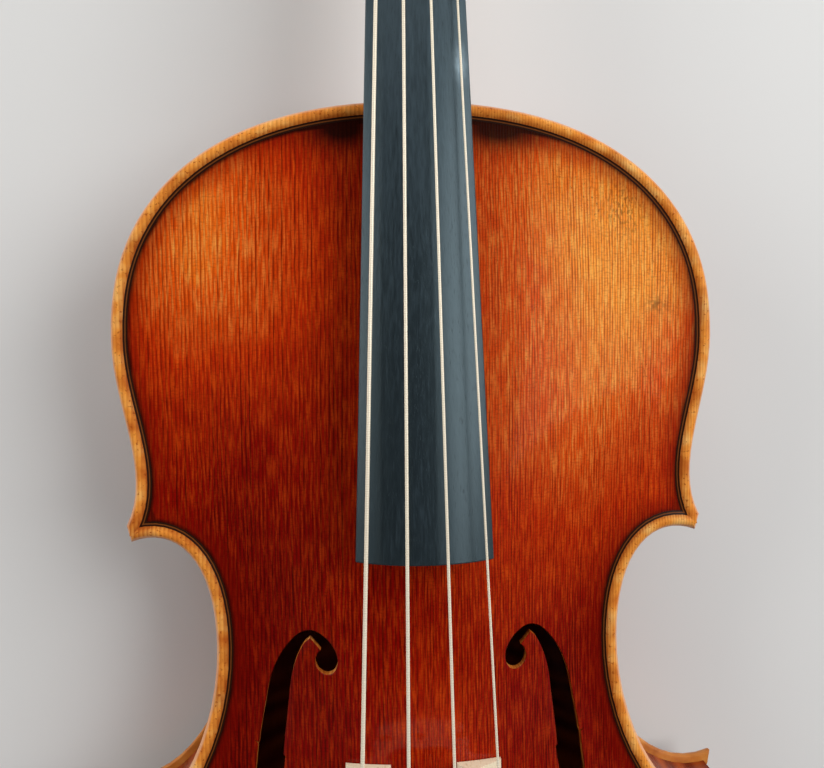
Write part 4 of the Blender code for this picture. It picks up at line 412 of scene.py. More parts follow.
def arch_half_width(y):
    """Half the width over which a plate arches, at a station along the body."""
    upper, waist, lower = (w / 2 - CHANNEL_INSET for w in (UPPER_BOUT_WIDTH, WAIST_WIDTH, LOWER_BOUT_WIDTH))
    if y >= -UPPER_BOUT_AT:
        share = min((y + UPPER_BOUT_AT) / (UPPER_BOUT_AT - CHANNEL_INSET), 1.0)
        return upper * (1 - share**BOUT_ROUNDNESS) ** (1 / BOUT_ROUNDNESS)
    if y >= -WAIST_AT:
        return upper + (waist - upper) * gentle((-y - UPPER_BOUT_AT) / (WAIST_AT - UPPER_BOUT_AT))
    if y >= -LOWER_BOUT_AT:
        return waist + (lower - waist) * gentle((-y - WAIST_AT) / (LOWER_BOUT_AT - WAIST_AT))
    share = min((-y - LOWER_BOUT_AT) / (BODY_LENGTH - CHANNEL_INSET - LOWER_BOUT_AT), 1.0)
    return lower * (1 - share**BOUT_ROUNDNESS) ** (1 / BOUT_ROUNDNESS)


def plate_height(x, y, arch):
    """Height of a plate's outer face over its gluing face."""
    middle = BODY_LENGTH / 2
    along = min(abs(y + middle) / (middle - CHANNEL_INSET), 1.0)
    across = min(abs(x) / max(arch_half_width(y), 1e-6), 1.0)
    return CHANNEL_THICKNESS + (arch - CHANNEL_THICKNESS) * (1 - along**2.4) ** 1.4 * (1 - across**2.3) ** 2


def rounded(points, steps):
    """A smooth line through points, by Catmull-Rom."""
    points = [np.array(point) for point in points]
    ends = [2 * points[0] - points[1]] + points + [2 * points[-1] - points[-2]]
    line = []
    for a, b, c, d in zip(ends, ends[1:], ends[2:], ends[3:]):
        for t in (i / steps for i in range(steps)):
            line.append((2 * b + (c - a) * t + (2 * a - 5 * b + 4 * c - d) * t**2 + (3 * b - a - 3 * c + d) * t**3) / 2)
    return line + [points[-1]]


def sound_hole(side):
    """The closed outline of one sound hole: its upper half, and the same turned about and enlarged."""
    outer = ((54.1, -211.9), (53.6, -208.0), (52.2, -200.5), (50.0, -189.8), (46.5, -181.8), (42.0, -175.8),
             (38.3, -173.1), (34.6, -172.8), (30.7, -175.1), (28.1, -178.6), (27.3, -182.2), (28.5, -185.5),
             (31.1, -186.7), (33.7, -185.5), (34.8, -182.7), (33.9, -179.9))
    inner = ((36.4, -175.3), (38.7, -177.7), (41.3, -183.2), (43.0, -189.6), (44.0, -198.0), (45.0, -206.4),
             (45.8, -214.6))
    eye, nick = (32.9, -178.9), (44.7, -215.6)
    upper = np.array(rounded(outer, 4) + [eye] + rounded(inner, 4) + [nick]) / 1000
    centre = np.array(F_CENTRE)
    loop = np.vstack((upper, centre - F_LOWER_SCALE * (upper - centre)))
    return loop if side > 0 else loop[::-1] * (-1, 1)


def widened(loop, amount):
    """A hole's outline moved into the wood round it."""
    along = np.roll(loop, -1, axis=0) - np.roll(loop, 1, axis=0)
    along /= np.linalg.norm(along, axis=1)[:, None]
    outward = np.column_stack((along[:, 1], -along[:, 0]))
    area = (loop[:, 0] * np.roll(loop[:, 1], -1) - np.roll(loop[:, 0], -1) * loop[:, 1]).sum()
    return loop + outward * amount * np.sign(area)


def band(bm, near, far):
    """A closed band of faces between two rings of corners."""
    for i in range(len(near)):
        j = (i + 1) % len(near)
        bm.faces.new((near[i], near[j], far[j], far[i]))


def plate_bm(arch, holes, base, up):
    """An arched plate: edge and channel from rings of the outline, arch from a grid of points between them."""
    bm = bmesh.new()
    inset_of = bm.verts.layers.float.new("inset")
    outline = ring(0.0)

    def row(line, heights, inset):
        verts = []
        for (x, y), height in zip(line, heights):
            vert = bm.verts.new((x, y, base + up * height))
            vert[inset_of] = inset
            verts.append(vert)
        return verts

    rings = [row(ring(inset), [height] * len(outline), inset) for inset, height in EDGE_PROFILE]
    for near, far in zip(rings, rings[1:]):
        band(bm, near, far)
    rim = ring(EDGE_PROFILE[-1][0])
    clean = [rim[0]]
    for point in rim[1:]:
        if np.linalg.norm(point - clean[-1]) > 1e-6:
            clean.append(point)
    loops = [np.array(clean)] + [widened(hole, CHAMFER) for hole in holes]
    coords, edges = [], []
    for border in loops:
        first = len(coords)
        coords += [Vector(p) for p in border]
        edges += [(first + i, first + (i + 1) % len(border)) for i in range(len(border))]
    columns, rows = int(LOWER_BOUT_WIDTH / 2 / GRID_STEP) + 1, int(BODY_LENGTH / GRID_STEP) + 1
    for number in range(rows):
        for column in range(-columns, columns + 1):
            point = np.array((column * GRID_STEP, -number * GRID_STEP))
            if inside(point, loops[0]) and not any(inside(point, hole) for hole in loops[1:]):
                if min(distance_to(point, border) for border in loops) > GRID_CLEARANCE:
                    coords.append(Vector(point))
    made = delaunay_2d_cdt(coords, edges, [], 0, 1e-9)
    points = np.array([tuple(p) for p in made[0]])
    insets = [min(distance_to(point, outline), FAR_INSET) for point in points]
    on_rim = [np.hypot(*(loops[0] - point).T).min() < 2e-6 for point in points]
    tops = [CHANNEL_THICKNESS if rim_point else plate_height(x, y, arch)
            for (x, y), rim_point in zip(points, on_rim)]
    unders = [0.0 if rim_point else max(top - PLATE_WALL, 0.0) for top, rim_point in zip(tops, on_rim)]
    faces = []
    for face in made[2]:
        centre = points[list(face)].mean(axis=0)
        if inside(centre, loops[0]) and not any(inside(centre, hole) for hole in loops[1:]):
            faces.append(face)
    for heights in (tops, unders):
        verts = [bm.verts.new((x, y, base + up * height)) for (x, y), height in zip(points, heights)]
        for vert, inset in zip(verts, insets):
            vert[inset_of] = inset
        for face in faces:
            bm.faces.new([verts[i] for i in face])
    for hole, wide in zip(holes, loops[1:]):
        top = [plate_height(x, y, arch) for x, y in wide]
        low = [max(height - PLATE_WALL, 0.0) for height in top]
        wall = [row(wide, top, FAR_INSET), row(hole, [h - CHAMFER for h in top], HOLE_INSET)]
        wall += [row(hole, [h + CHAMFER for h in low], HOLE_INSET), row(wide, low, FAR_INSET)]
        for near, far in zip(wall, wall[1:]):
            band(bm, near, far)
    return bm


def attribute(place, name):
    """The signal of a value that a mesh keeps at its vertices."""
    return place.node("ShaderNodeAttribute", {"attribute_name": name}, {}, 2)


def patch(across, along, middle, reach):
    """A soft round patch, 1 in its middle, at a place of the body and with a reach each way."""
    dx = (across - middle[0]) / reach[0]
    dy = (along - middle[1]) / reach[1]
    return (0 - (dx * dx + dy * dy)).math("EXPONENT")


RIM_BAND = (0.0040, 0.0046)
spruce, spruce_shader, place = finish("spruce_varnish", 0.34, coat_roughness=0.10, specular=0.04)
across = place.axis(0)
along = place.axis(1) - body_at.translation.y
inset = attribute(place, "inset")

wander = (place.noise(5, 4, 0) - 0.5) * 0.006 + (place.noise(70, 18, 0) - 0.5) * 0.0006
ring_width = 0.00138 - across.rise(-0.0005, 0.0005) * 0.00045
year = abs(across + wander) / ring_width
late_wood = year.math("FRACT").ramp((0.0, (0, 0, 0)), (0.30, (0.05,) * 3), (0.72, (0.90,) * 3), (0.90, (1.0,) * 3),
                                    (1.0, (0.0,) * 3))
line_strength = place.noise(700, 12, 0, 3.0).rise(0.30, 0.70)
fibre = place.noise(1500, 110, 0, 3.0)
rays = place.noise(620, 1700, 0, 2.0)
cloud = place.noise(24, 16, 0, 4.0)
blotch = place.noise(120, 95, 0, 4.0)

# Painted light: broad patches of painted sheen over the bouts and the arch, and painted shade along the C-bouts, summed
# with real cloudy variation into one value that picks the varnish colours below.
bass_painted_sheen = patch(across, along, (-0.071, -0.046), (0.032, 0.052))
treble_painted_sheen = patch(across, along, (0.064, -0.050), (0.074, 0.095))
treble_painted_gold_sheen = patch(across, along, (0.074, -0.044), (0.028, 0.038))
centre_painted_sheen = patch(across, along, (0.035, -0.130), (0.040, 0.055))
# A painted patch of light reflected onto the belly in front of the bridge.
bridge_painted_reflected_light = patch(across, along, (0.002, -0.205), (0.026, 0.026))
waist_shade = patch(abs(across), along, (0.062, -0.192), (0.024, 0.050))
lower_painted_sheen = patch(abs(across), along, (0.062, -0.325), (0.050, 0.058))
bridge_gloss = patch(across, along, (0, -0.205), (0.034, 0.014))
tone_and_painted_light = (0.18 + bass_painted_sheen * 0.58 + treble_painted_sheen * 0.62 + treble_painted_gold_sheen * 0.26 + centre_painted_sheen * 0.10 + bridge_painted_reflected_light * 0.10
          + lower_painted_sheen * 0.46 - waist_shade * 0.17 + (cloud - 0.5) * 0.40 + (blotch - 0.5) * 0.16)
varnish = tone_and_painted_light.ramp((0.0, paint(98, 3, 1)), (0.22, paint(138, 8, 1)), (0.48, paint(190, 42, 3)),
                      (0.74, paint(234, 86, 10)), (1.0, paint(255, 152, 42)))
line_colour = tone_and_painted_light.ramp((0.0, paint(46, 2, 1)), (0.5, paint(104, 18, 2)), (1.0, paint(158, 58, 10)))
lined = (late_wood * (0.45 + line_strength * 0.55)).between(varnish, line_colour)
sparkle = tone_and_painted_light.ramp((0.0, paint(132, 12, 2)), (0.5, paint(222, 80, 14)), (1.0, paint(255, 190, 88)))
fibred = ((fibre - 0.46).math("MAXIMUM", 0.0) * 3.4).between(lined, sparkle)
rayed = ((0.54 - rays).math("MAXIMUM", 0.0) * 1.4).between(fibred, line_colour)

speck_field = place.noise(40, 30, 0, 2.0).rise(0.44, 0.66) * (0.35 + treble_painted_gold_sheen * 0.65 + lower_painted_sheen * 0.3)
specks = place.noise(1300, 900, 0, 2.0).rise(0.62, 0.70) * speck_field
specked = (specks * 0.75).between(rayed, paint(58, 22, 8))
bruise = patch(across, along, (0.070, -0.034), (0.008, 0.011)) * place.noise(1500, 480, 0, 3.0).rise(0.50, 0.62)
chip = patch(across, along, (0.081, -0.067), (0.0036, 0.0022)) * place.noise(500, 500, 0, 2.0).rise(0.35, 0.55)
marked = (bruise * 0.62 + chip * 0.6).between(specked, paint(96, 54, 12))
neck_soot = patch(across, along, (0.028, -0.009), (0.016, 0.007))
neck_soot += patch(across, along, (-0.024, -0.009), (0.012, 0.007))
# Darker red, then near black, towards the channel: painted shade in the channel, with dirt there too, weaker on the
# treble side, and real soot beside the neck.
channel_painted_red_shade = (1 - inset.rise(0.0056, 0.0135)) * 0.55
reddened = channel_painted_red_shade.between(marked, paint(116, 12, 2))
channel_dirt_and_painted_shade = (1 - inset.rise(0.0055, 0.0072)) * (0.80 - across.rise(0, 0.02) * 0.18 + (blotch - 0.5) * 0.9)
sooted_and_shaded = (channel_dirt_and_painted_shade + neck_soot * 1.1).math("MINIMUM", 0.94).between(reddened, paint(22, 6, 2))
worn = (0.5 + (place.noise(130, 130, 0, 4.0) - 0.5) * 2.0).ramp(
    (0.0, paint(196, 96, 28)), (0.5, paint(240, 152, 60)), (1.0, paint(255, 198, 112)))
rim_specks = place.noise(900, 900, 0, 2.0).rise(0.60, 0.70) * 0.6
# The rounded edge is darker towards the channel, by stain and by painted shade where it turns in, and paler at its very
# edge, by wear and a painted highlight.
rim_stain_and_painted_shade = inset.rise(0.0026, 0.0042) * 0.50 + place.noise(55, 55, 0, 3.0).rise(0.50, 0.68) * 0.40
rim_grained = (rim_specks + late_wood * 0.30 + rim_stain_and_painted_shade).math("MINIMUM", 0.85).between(worn, paint(150, 62, 16))
worn_edge_and_painted_highlight = (1 - inset.rise(0.0005, 0.0013)) * 0.8
rim_colour = worn_edge_and_painted_highlight.between(rim_grained, paint(222, 168, 132))
on_rim = 1 - inset.rise(*RIM_BAND)
wire(
    spruce_shader,
    Base_Color=on_rim.between(sooted_and_shaded, rim_colour),
    Roughness=0.30 + blotch * 0.16 + on_rim * 0.05,
    Coat_Weight=0.04 + bridge_gloss * 0.46,
    Normal=raised(place, late_wood * 0.35 + fibre * 0.45 + place.noise(230, 60, 0) * 0.5, 0.00005),
)

BELLY_FACE = GLUE_GAP
holes = [sound_hole(1), sound_hole(-1)]
belly = shaped("belly_varnished", plate_bm(BELLY_ARCH, holes, BELLY_FACE, 1), spruce, body_at, 30)
fitted(belly, "instrument", "spruce_varnish", "belly")

# Purfling
# Three thin strips let into the channel of both plates, black, pale and black, mitred into a point at each corner.
# They lie flush with the wood and keep the edge from splitting.

PURFLING_RISE = 0.00004
PURFLING_SINK = 0.0006
STRIP_INSETS = (0.00415, 0.00465, 0.00515, 0.0056)
CREST_ROWS = 9

purfling_wood, purfling_shader, place = finish("purfling_strips", 0.4, specular=0.12)
strip_inset = attribute(place, "inset")
pale = strip_inset.rise(0.00467, 0.00475) * (1 - strip_inset.rise(0.00503, 0.00511))
wire(purfling_shader, Base_Color=(pale * (0.55 + place.noise(900, 900, 900) * 0.5)).between(
    paint(38, 15, 5), paint(122, 64, 20)))
crest_insets, crest_heights = zip(*EDGE_PROFILE[CREST_ROWS:])


def purfling(name, base, up, *nodes):
    """The three strips as one closed ring of thin wood."""
    bm = bmesh.new()
    inset_of = bm.verts.layers.float.new("inset")
    section = [(inset, float(np.interp(inset, crest_insets, crest_heights)) + PURFLING_RISE)
               for inset in STRIP_INSETS]
    section += [(inset, CHANNEL_THICKNESS - PURFLING_SINK) for inset in (STRIP_INSETS[-1], STRIP_INSETS[0])]
    rows = []
    for inset, height in section:
        verts = [bm.verts.new((x, y, base + up * height)) for x, y in ring(inset)]
        for vert in verts:
            vert[inset_of] = inset
        rows.append(verts)
    for near, far in zip(rows, rows[1:] + rows[:1]):
        band(bm, near, far)
    fitted(shaped(name, bm, purfling_wood, body_at), "instrument", "purfling_wood", *nodes)


RIB_HEIGHT = 0.0370
BACK_FACE = -(RIB_HEIGHT + GLUE_GAP)
purfling("purfling_of_belly", BELLY_FACE, 1, "purfling_belly_treble", "purfling_belly_bass")
purfling("purfling_of_back", BACK_FACE, -1, "purfling_back")

# Back
# Flamed maple in two book-matched halves under the same varnish. A half-round button at its top end covers the foot
# of the neck's heel.

BACK_ARCH = 0.0165
EDGE_THICKNESS = 0.0042
BUTTON_WIDTH = 0.024
BUTTON_REACH = 0.0110
BUTTON_START = 0.001
BUTTON_ROOT = -0.003
BUTTON_ROUND = 0.0009


def settle(made):
    """Applies an object's modifiers to its mesh."""
    graph = bpy.context.evaluated_depsgraph_get()
    mesh = bpy.data.meshes.new_from_object(made.evaluated_get(graph))
    made.modifiers.clear()
    made.data = mesh
    return made


def carve(body, operation, *tools):
    """Joins closed tools to a body, or cuts them from it, and removes them."""
    for tool in tools:
        step = body.modifiers.new("carve", "BOOLEAN")
        step.operation = operation
        step.object = tool
        step.solver = "EXACT"
    settle(body)
    for tool in tools:
        bpy.data.objects.remove(tool, do_unlink=True)
    return body


maple, maple_shader, place = finish("maple_varnish", 0.32, coat=0.08, coat_roughness=0.15, specular=0.3)
across = place.axis(0)
along = place.axis(1) - body_at.translation.y
inset = attribute(place, "inset")
flame_run = (along + abs(across) * 0.22 + (place.noise(14, 20, 0) - 0.5) * 0.024) / 0.0095
flame = flame_run.wave()
flame_depth = place.noise(26, 34, 0).rise(0.22, 0.72)
maple_fibre = place.noise(2400, 90, 0, 3.0)
flecks = place.noise(1500, 260, 0, 2.0)
back_cloud = place.noise(20, 15, 0, 4.0)
back_warmth = 0.30 + patch(across, along, (0, -0.070), (0.070, 0.055)) * 0.35 + patch(
    across, along, (0, -0.310), (0.085, 0.065)) * 0.38 + (flame - 0.5) * flame_depth * 0.42 + (back_cloud - 0.5) * 0.6
maple_varnish = back_warmth.ramp((0.0, paint(78, 16, 5)), (0.30, paint(128, 38, 9)), (0.58, paint(176, 76, 20)),
                                 (0.85, paint(214, 122, 44)), (1.0, paint(232, 158, 74)))
maple_fibred = ((maple_fibre - 0.42) * 0.5).between(maple_varnish, paint(70, 20, 6))
maple_flecked = ((flecks - 0.62).math("MAXIMUM", 0.0) * 1.5).between(maple_fibred, paint(60, 16, 6))
# Darker along the channel.
back_channel_darkening = (1 - abs(inset - 0.0060).rise(0.0004, 0.0045)) * 0.5
back_channel_darkened = back_channel_darkening.between(maple_flecked, paint(40, 12, 5))
back_rim = (0.5 + (place.noise(150, 150, 0, 3.0) - 0.5) * 1.2).ramp(
    (0.0, paint(150, 72, 24)), (0.5, paint(200, 122, 48)), (1.0, paint(226, 160, 82)))
back_on_rim = 1 - inset.rise(*RIM_BAND)
wire(
    maple_shader,
    Base_Color=back_on_rim.between(back_channel_darkened, back_rim),
    Roughness=0.26 + flame * 0.08 + back_cloud * 0.08,
    Normal=raised(place, maple_fibre * 0.5 + flame * 0.3, 0.00005),
)
back = shaped("back_varnished", plate_bm(BACK_ARCH, [], BACK_FACE, -1), maple, body_at, 30)



def drawn_out(bm, corners, rise):
    """A face on some corners, drawn out along Z to a closed body: gives the corners of the far face."""
    grown = bmesh.ops.extrude_face_region(bm, geom=[bm.faces.new(corners)])["geom"]
    cap = [g for g in grown if isinstance(g, bmesh.types.BMVert)]
    bmesh.ops.translate(bm, verts=cap, vec=(0, 0, rise))
    return cap


button_bm = bmesh.new()
button_deep = BUTTON_REACH - BUTTON_START
button_foot = [button_bm.verts.new((BUTTON_WIDTH / 2 * x, BUTTON_START + button_deep * y, BACK_FACE))
               for x, y in (aim((0, 0), 180 * i / 32, 1.0) for i in range(33))]
button_foot += [button_bm.verts.new((side * BUTTON_WIDTH / 2, BUTTON_ROOT, BACK_FACE)) for side in (-1, 1)]
button_cap = drawn_out(button_bm, button_foot, -0.9 * EDGE_THICKNESS)
button_rim = [e for e in button_bm.edges if all(v in button_cap for v in e.verts)]
bmesh.ops.bevel(button_bm, geom=button_rim, offset=BUTTON_ROUND, segments=4, profile=0.5, affect="EDGES",
                material=-1)
carve(back, "UNION", shaped("button_tool", button_bm, maple, body_at))
fitted(back, "instrument", "maple_varnish", "back")

# Ribs
# Six strips of flamed maple, bent to the outline and glued to blocks and linings. Their flame stands upright, so it
# is laid out along the run of each strip.

EDGE_OVERHANG = 0.0027
RIB_WALL = 0.0012

rib_maple, rib_shader, place = finish("rib_varnish", 0.30, coat=0.06, coat_roughness=0.15, specular=0.25)
run = attribute(place, "run")
height = place.axis(2)
rib_flame_run = (run + height * 0.18 + (place.noise(18, 18, 10) - 0.5) * 0.020) / 0.0080
rib_flame = rib_flame_run.wave()
rib_depth = place.noise(30, 30, 12).rise(0.25, 0.75)
rib_streaks = place.noise(30, 30, 2600, 3.0)
rib_tone = 0.42 + (rib_flame - 0.5) * rib_depth * 0.55 + (place.noise(24, 24, 24, 3.0) - 0.5) * 0.5
rib_colour = rib_tone.ramp((0.0, paint(70, 14, 5)), (0.35, paint(122, 36, 10)), (0.7, paint(178, 80, 24)),
                           (1.0, paint(222, 140, 60)))
wire(
    rib_shader,
    Base_Color=((rib_streaks - 0.45) * 0.45).between(rib_colour, paint(64, 18, 6)),
    Roughness=0.25 + rib_flame * 0.10,
    Normal=raised(place, rib_streaks * 0.4 + rib_flame * 0.3, 0.00004),
)


def cut_line(number, inset):
    """One of the outline's arms at an inset, cut where it meets its neighbours in the corners."""
    lines = [shifted(arm, inset) for arm in ARMS]
    for k in (0, 1):
        i, j, point = crossing(lines[k], lines[k + 1])
        lines[k] = np.vstack((lines[k][: i + 1], point))
        lines[k + 1] = np.vstack((point, lines[k + 1][j + 1 :]))
    return lines[number]


for side, word in ((1, "treble"), (-1, "bass")):
    for number, arm_name in enumerate(("upper", "centre", "lower")):
        line = cut_line(number, EDGE_OVERHANG) * (side, 1)
        inner = cut_line(number, EDGE_OVERHANG + RIB_WALL) * (side, 1)
        bm = bmesh.new()
        run_of = bm.verts.layers.float.new("run")
        edge_verts = [bm.verts.new((x, y, -RIB_HEIGHT)) for x, y in np.vstack((line, inner[::-1]))]
        reach = np.concatenate(([0], np.cumsum(np.linalg.norm(np.diff(line, axis=0), axis=1))))
        for vert in edge_verts:
            near = int(np.argmin(np.hypot(*(line - np.array(vert.co[:2])).T)))
            vert[run_of] = reach[near]
        drawn_out(bm, edge_verts, RIB_HEIGHT)
        rib = shaped(f"rib_varnished_{arm_name}_{word}", bm, rib_maple, body_at, 40)
        fitted(rib, "instrument", "maple_varnish", f"rib_{arm_name}_{word}")

# Inner work
# Blocks, linings, bass bar and sound post are bare spruce, seen only through the sound holes. Their shapes are right
# as packed, so they keep them and take the finish.

raw_spruce, raw_shader, place = finish("bare_spruce", 0.7)
raw_year = (place.axis(0) / 0.0012).math("FRACT").ramp((0.0, (0, 0, 0)), (0.8, (0.8,) * 3), (1.0, (0, 0, 0)))
wire(
    raw_shader,
    Base_Color=(raw_year * 0.5 + place.noise(2000, 60, 2000) * 0.3).between(paint(206, 168, 116), paint(150, 104, 58)),
    Normal=raised(place, place.noise(2600, 90, 2600), 0.00005),
)
for name, node in frame["nodes"].items():
    if name.startswith("lining_") or "block" in name or name in ("bass_bar", "sound_post"):
        node.data.materials.clear()
        node.data.materials.append(raw_spruce)

# Neck and scroll
# One piece of maple: the heel in the body, the shaft under the fingerboard, the pegbox and the scroll. The shaft is
# bare and oiled for the hand, the rest is varnished, and two flutes run down the back of the pegbox and the scroll.

NECK_LENGTH = 0.150
NECK_THICKNESS = 0.0195
HEEL_THICKNESS = 0.0215
BOARD_OVERHANG = 0.1448
BOARD_END_HEIGHT = 0.038
BOARD_SLOPE = 0.125
BOARD_WIDTH_NUT = 0.0245
BOARD_WIDTH_END = 0.0418
BOARD_RADIUS = 0.039
BOARD_EDGE = 0.0050
NUT_LENGTH = 0.0055
PEGBOX_WIDTH_NUT = 0.0266
PEGBOX_WIDTH_END = 0.0180
CHEEK_WALL = 0.0041
PEGBOX_FLOOR = 0.0044
PEGBOX_LENGTH = 0.0860
THROAT_RADIUS = 0.0135
SCROLL_CENTRE_Z = -0.0285
SCROLL_RADIUS = 0.0240
SCROLL_EYE_RADIUS = 0.0052
SCROLL_TURNS = 2.25
SCROLL_BACK_WIDTH = 0.0130
SCROLL_EYE_WIDTH = 0.0420
EYE_STAND = 0.88
TURN_STEPS = 56
LEDGE_SHARES = (0.25, 0.5, 0.75)
LEDGE_DEPTH = 0.22
FLUTE_RADIUS = 0.56
FLUTE_STAND = 0.82
FLUTE_SPREAD = 0.48
CAVITY_START = 0.0022
CAVITY_END = 0.755
CAVITY_OVER = 0.012
PEG_BORE_RADIUS = 0.0043
PEG_BORE_LENGTH = 0.06
NECK_VOXEL = 0.00062
NECK_SMOOTHING = 8
SHOULDER_DROP = 0.0015


def board_top(y):
    """Height of the fingerboard's crown."""
    return BOARD_END_HEIGHT - BOARD_SLOPE * (y + BOARD_OVERHANG)


def board_width(y):
    """Width of the fingerboard."""
    share = (NECK_LENGTH - y) / (NECK_LENGTH + BOARD_OVERHANG)
    return BOARD_WIDTH_NUT + (BOARD_WIDTH_END - BOARD_WIDTH_NUT) * share


def crown_drop(x, radius):
    """How far a round crown falls at a distance from its middle."""
    return radius - math.sqrt(radius * radius - x * x)


def board_floor(y):
    """Height of the face by which the fingerboard is glued to the neck."""
    return board_top(y) - crown_drop(board_width(min(y, NECK_LENGTH)) / 2, BOARD_RADIUS) - BOARD_EDGE


def neck_bottom(y):
    """Height of the neck's underside."""
    share = min(max(y / NECK_LENGTH, 0.0), 1.0)
    return board_top(y) - (HEEL_THICKNESS + (NECK_THICKNESS - HEEL_THICKNESS) * share)


def loft_bm(sections):
    """A closed body: one face, extruded from section to section and set to the corners of each."""
    bm = bmesh.new()
    face = bm.faces.new([bm.verts.new(corner) for corner in sections[0]])
    for section in sections[1:]:
        grown = bmesh.ops.extrude_face_region(bm, geom=[face, *face.edges])["geom"]
        face = next(g for g in grown if isinstance(g, bmesh.types.BMFace))
        for vert, corner in zip(face.verts, section):
            vert.co = corner
    return bm


def shaft_section(y):
    """The neck's section: flat on top, straight at the edges and round below."""
    half = board_width(min(y, NECK_LENGTH)) / 2 - GLUE_GAP
    top = board_floor(y) - GLUE_GAP
    shoulder, bottom = top - SHOULDER_DROP, neck_bottom(y)
    arc = [math.pi * i / 24 for i in range(25)]
    return [(-half, y, top), (half, y, top)] + [
        (half * math.cos(t), y, shoulder - (shoulder - bottom) * math.sin(t) ** 0.92) for t in arc
    ]


NUT_END = NECK_LENGTH + NUT_LENGTH
HEEL_TOP = board_floor(0.0) - GLUE_GAP
ROOT_HALF_WIDTH = board_width(0.0) / 2 - GLUE_GAP


def heel_half_width(z):
    """Half the width of the neck's heel at a height."""
    share = min(max((HEEL_TOP - z) / (HEEL_TOP - BACK_FACE), 0.0), 1.0)
    return ROOT_HALF_WIDTH + (BUTTON_WIDTH / 2 - 0.0005 - ROOT_HALF_WIDTH) * share


neck_maple, neck_shader, place = finish("neck_maple", 0.36, coat=0.06, coat_roughness=0.2, specular=0.3)
along = place.axis(1) - body_at.translation.y
neck_flame_run = (along + place.axis(2) * 0.3 + (place.noise(20, 20, 14) - 0.5) * 0.018) / 0.0085
neck_flame = neck_flame_run.wave()
neck_fibre = place.noise(1900, 70, 1900, 3.0)
bare = along.rise(0.020, 0.034) * (1 - along.rise(0.138, 0.152))
neck_tone = 0.40 + (neck_flame - 0.5) * 0.34 + (place.noise(40, 26, 40, 3.0) - 0.5) * 0.6
varnished = neck_tone.ramp((0.0, paint(80, 18, 6)), (0.4, paint(132, 44, 12)), (0.75, paint(184, 88, 28)),
                           (1.0, paint(220, 140, 62)))
oiled = neck_tone.ramp((0.0, paint(158, 98, 46)), (0.5, paint(196, 138, 78)), (1.0, paint(222, 176, 118)))
wire(
    neck_shader,
    Base_Color=((neck_fibre - 0.45) * 0.45).between(bare.between(varnished, oiled), paint(84, 34, 12)),
    Roughness=0.27 + bare * 0.16 + neck_flame * 0.06,
    Normal=raised(place, neck_fibre * 0.5 + neck_flame * 0.25, 0.00005),
)

shaft_stations = [-MORTISE_DEPTH, 0.0] + [0.01 * i for i in range(1, 15)] + [NECK_LENGTH, NUT_END + 0.002]
neck = shaped("neck_carved", loft_bm([shaft_section(y) for y in shaft_stations]), neck_maple)

heel_levels = [i / 20 for i in range(21)]
heel_curve = ((0.0, 0.0125), (0.12, 0.0122), (0.30, 0.0122), (0.50, 0.0132), (0.68, 0.0158), (0.82, 0.0200),
              (0.92, 0.0250), (1.0, 0.0330))
heel_bottom, heel_head = BACK_FACE + GLUE_GAP, neck_bottom(0.03) + 0.006
heel_sections = []
for level in heel_levels:
    z = heel_bottom + (heel_head - heel_bottom) * level
    half, reach = heel_half_width(z), float(np.interp(level, *zip(*heel_curve)))
    arc = [math.pi * i / 28 for i in range(29)]
    heel_sections.append([(-half, -MORTISE_DEPTH, z), (half, -MORTISE_DEPTH, z)] + [
        (half * math.cos(t) * (1 - 0.04 * math.sin(t)), BUTTON_START + (reach - BUTTON_START) * math.sin(t), z)
        for t in arc
    ])
heel = shaped("heel_tool", loft_bm(heel_sections), neck_maple)

SCROLL_CENTRE = (NUT_END + PEGBOX_LENGTH, SCROLL_CENTRE_Z)
PEGBOX_TOP = board_floor(NUT_END) + 0.001


def pegbox_half_width(y):
    """Half the outer width of the pegbox."""
    share = min(max((y - NUT_END) / (0.8 * PEGBOX_LENGTH), 0.0), 1.0)
    end = PEGBOX_WIDTH_END / 2
    half = PEGBOX_WIDTH_NUT / 2 + (end - PEGBOX_WIDTH_NUT / 2) * share
    past = min(max((y - NUT_END) / PEGBOX_LENGTH - 0.8, 0.0) / 0.2, 1.0)
    return half + (SCROLL_BACK_WIDTH / 2 - 0.0002 - end) * past


def pegbox_edge(shares_and_drops, tip_height):
    """A smooth edge of the pegbox, from shares of its length and of the fall to its tip."""
    points = [(NUT_END + share * PEGBOX_LENGTH, PEGBOX_TOP + (tip_height - PEGBOX_TOP) * drop)
              for share, drop in shares_and_drops]
    return np.array(rounded(points, 5))


front_edge = pegbox_edge(
    ((0.0, 0.0), (0.17, 0.07), (0.40, 0.22), (0.60, 0.43), (0.73, 0.63), (0.82, 0.84), (0.91, 0.985), (1.05, 1.0)),
    SCROLL_CENTRE_Z - THROAT_RADIUS,
)
back_edge = pegbox_edge(
    ((-0.03, 0.29), (0.03, 0.37), (0.10, 0.475), (0.20, 0.55), (0.35, 0.615), (0.52, 0.725), (0.70, 0.85),
     (0.85, 0.955), (0.99, 0.995), (1.05, 0.975)),
    SCROLL_CENTRE_Z - SCROLL_RADIUS,
)


def height_on(edge, y):
    """Height of a pegbox edge at a station."""
    return float(np.interp(y, edge[:, 0], edge[:, 1]))


def box_section(half, y, low, high):
    """A rectangle across the neck."""
    return [(-half, y, low), (half, y, low), (half, y, high), (-half, y, high)]


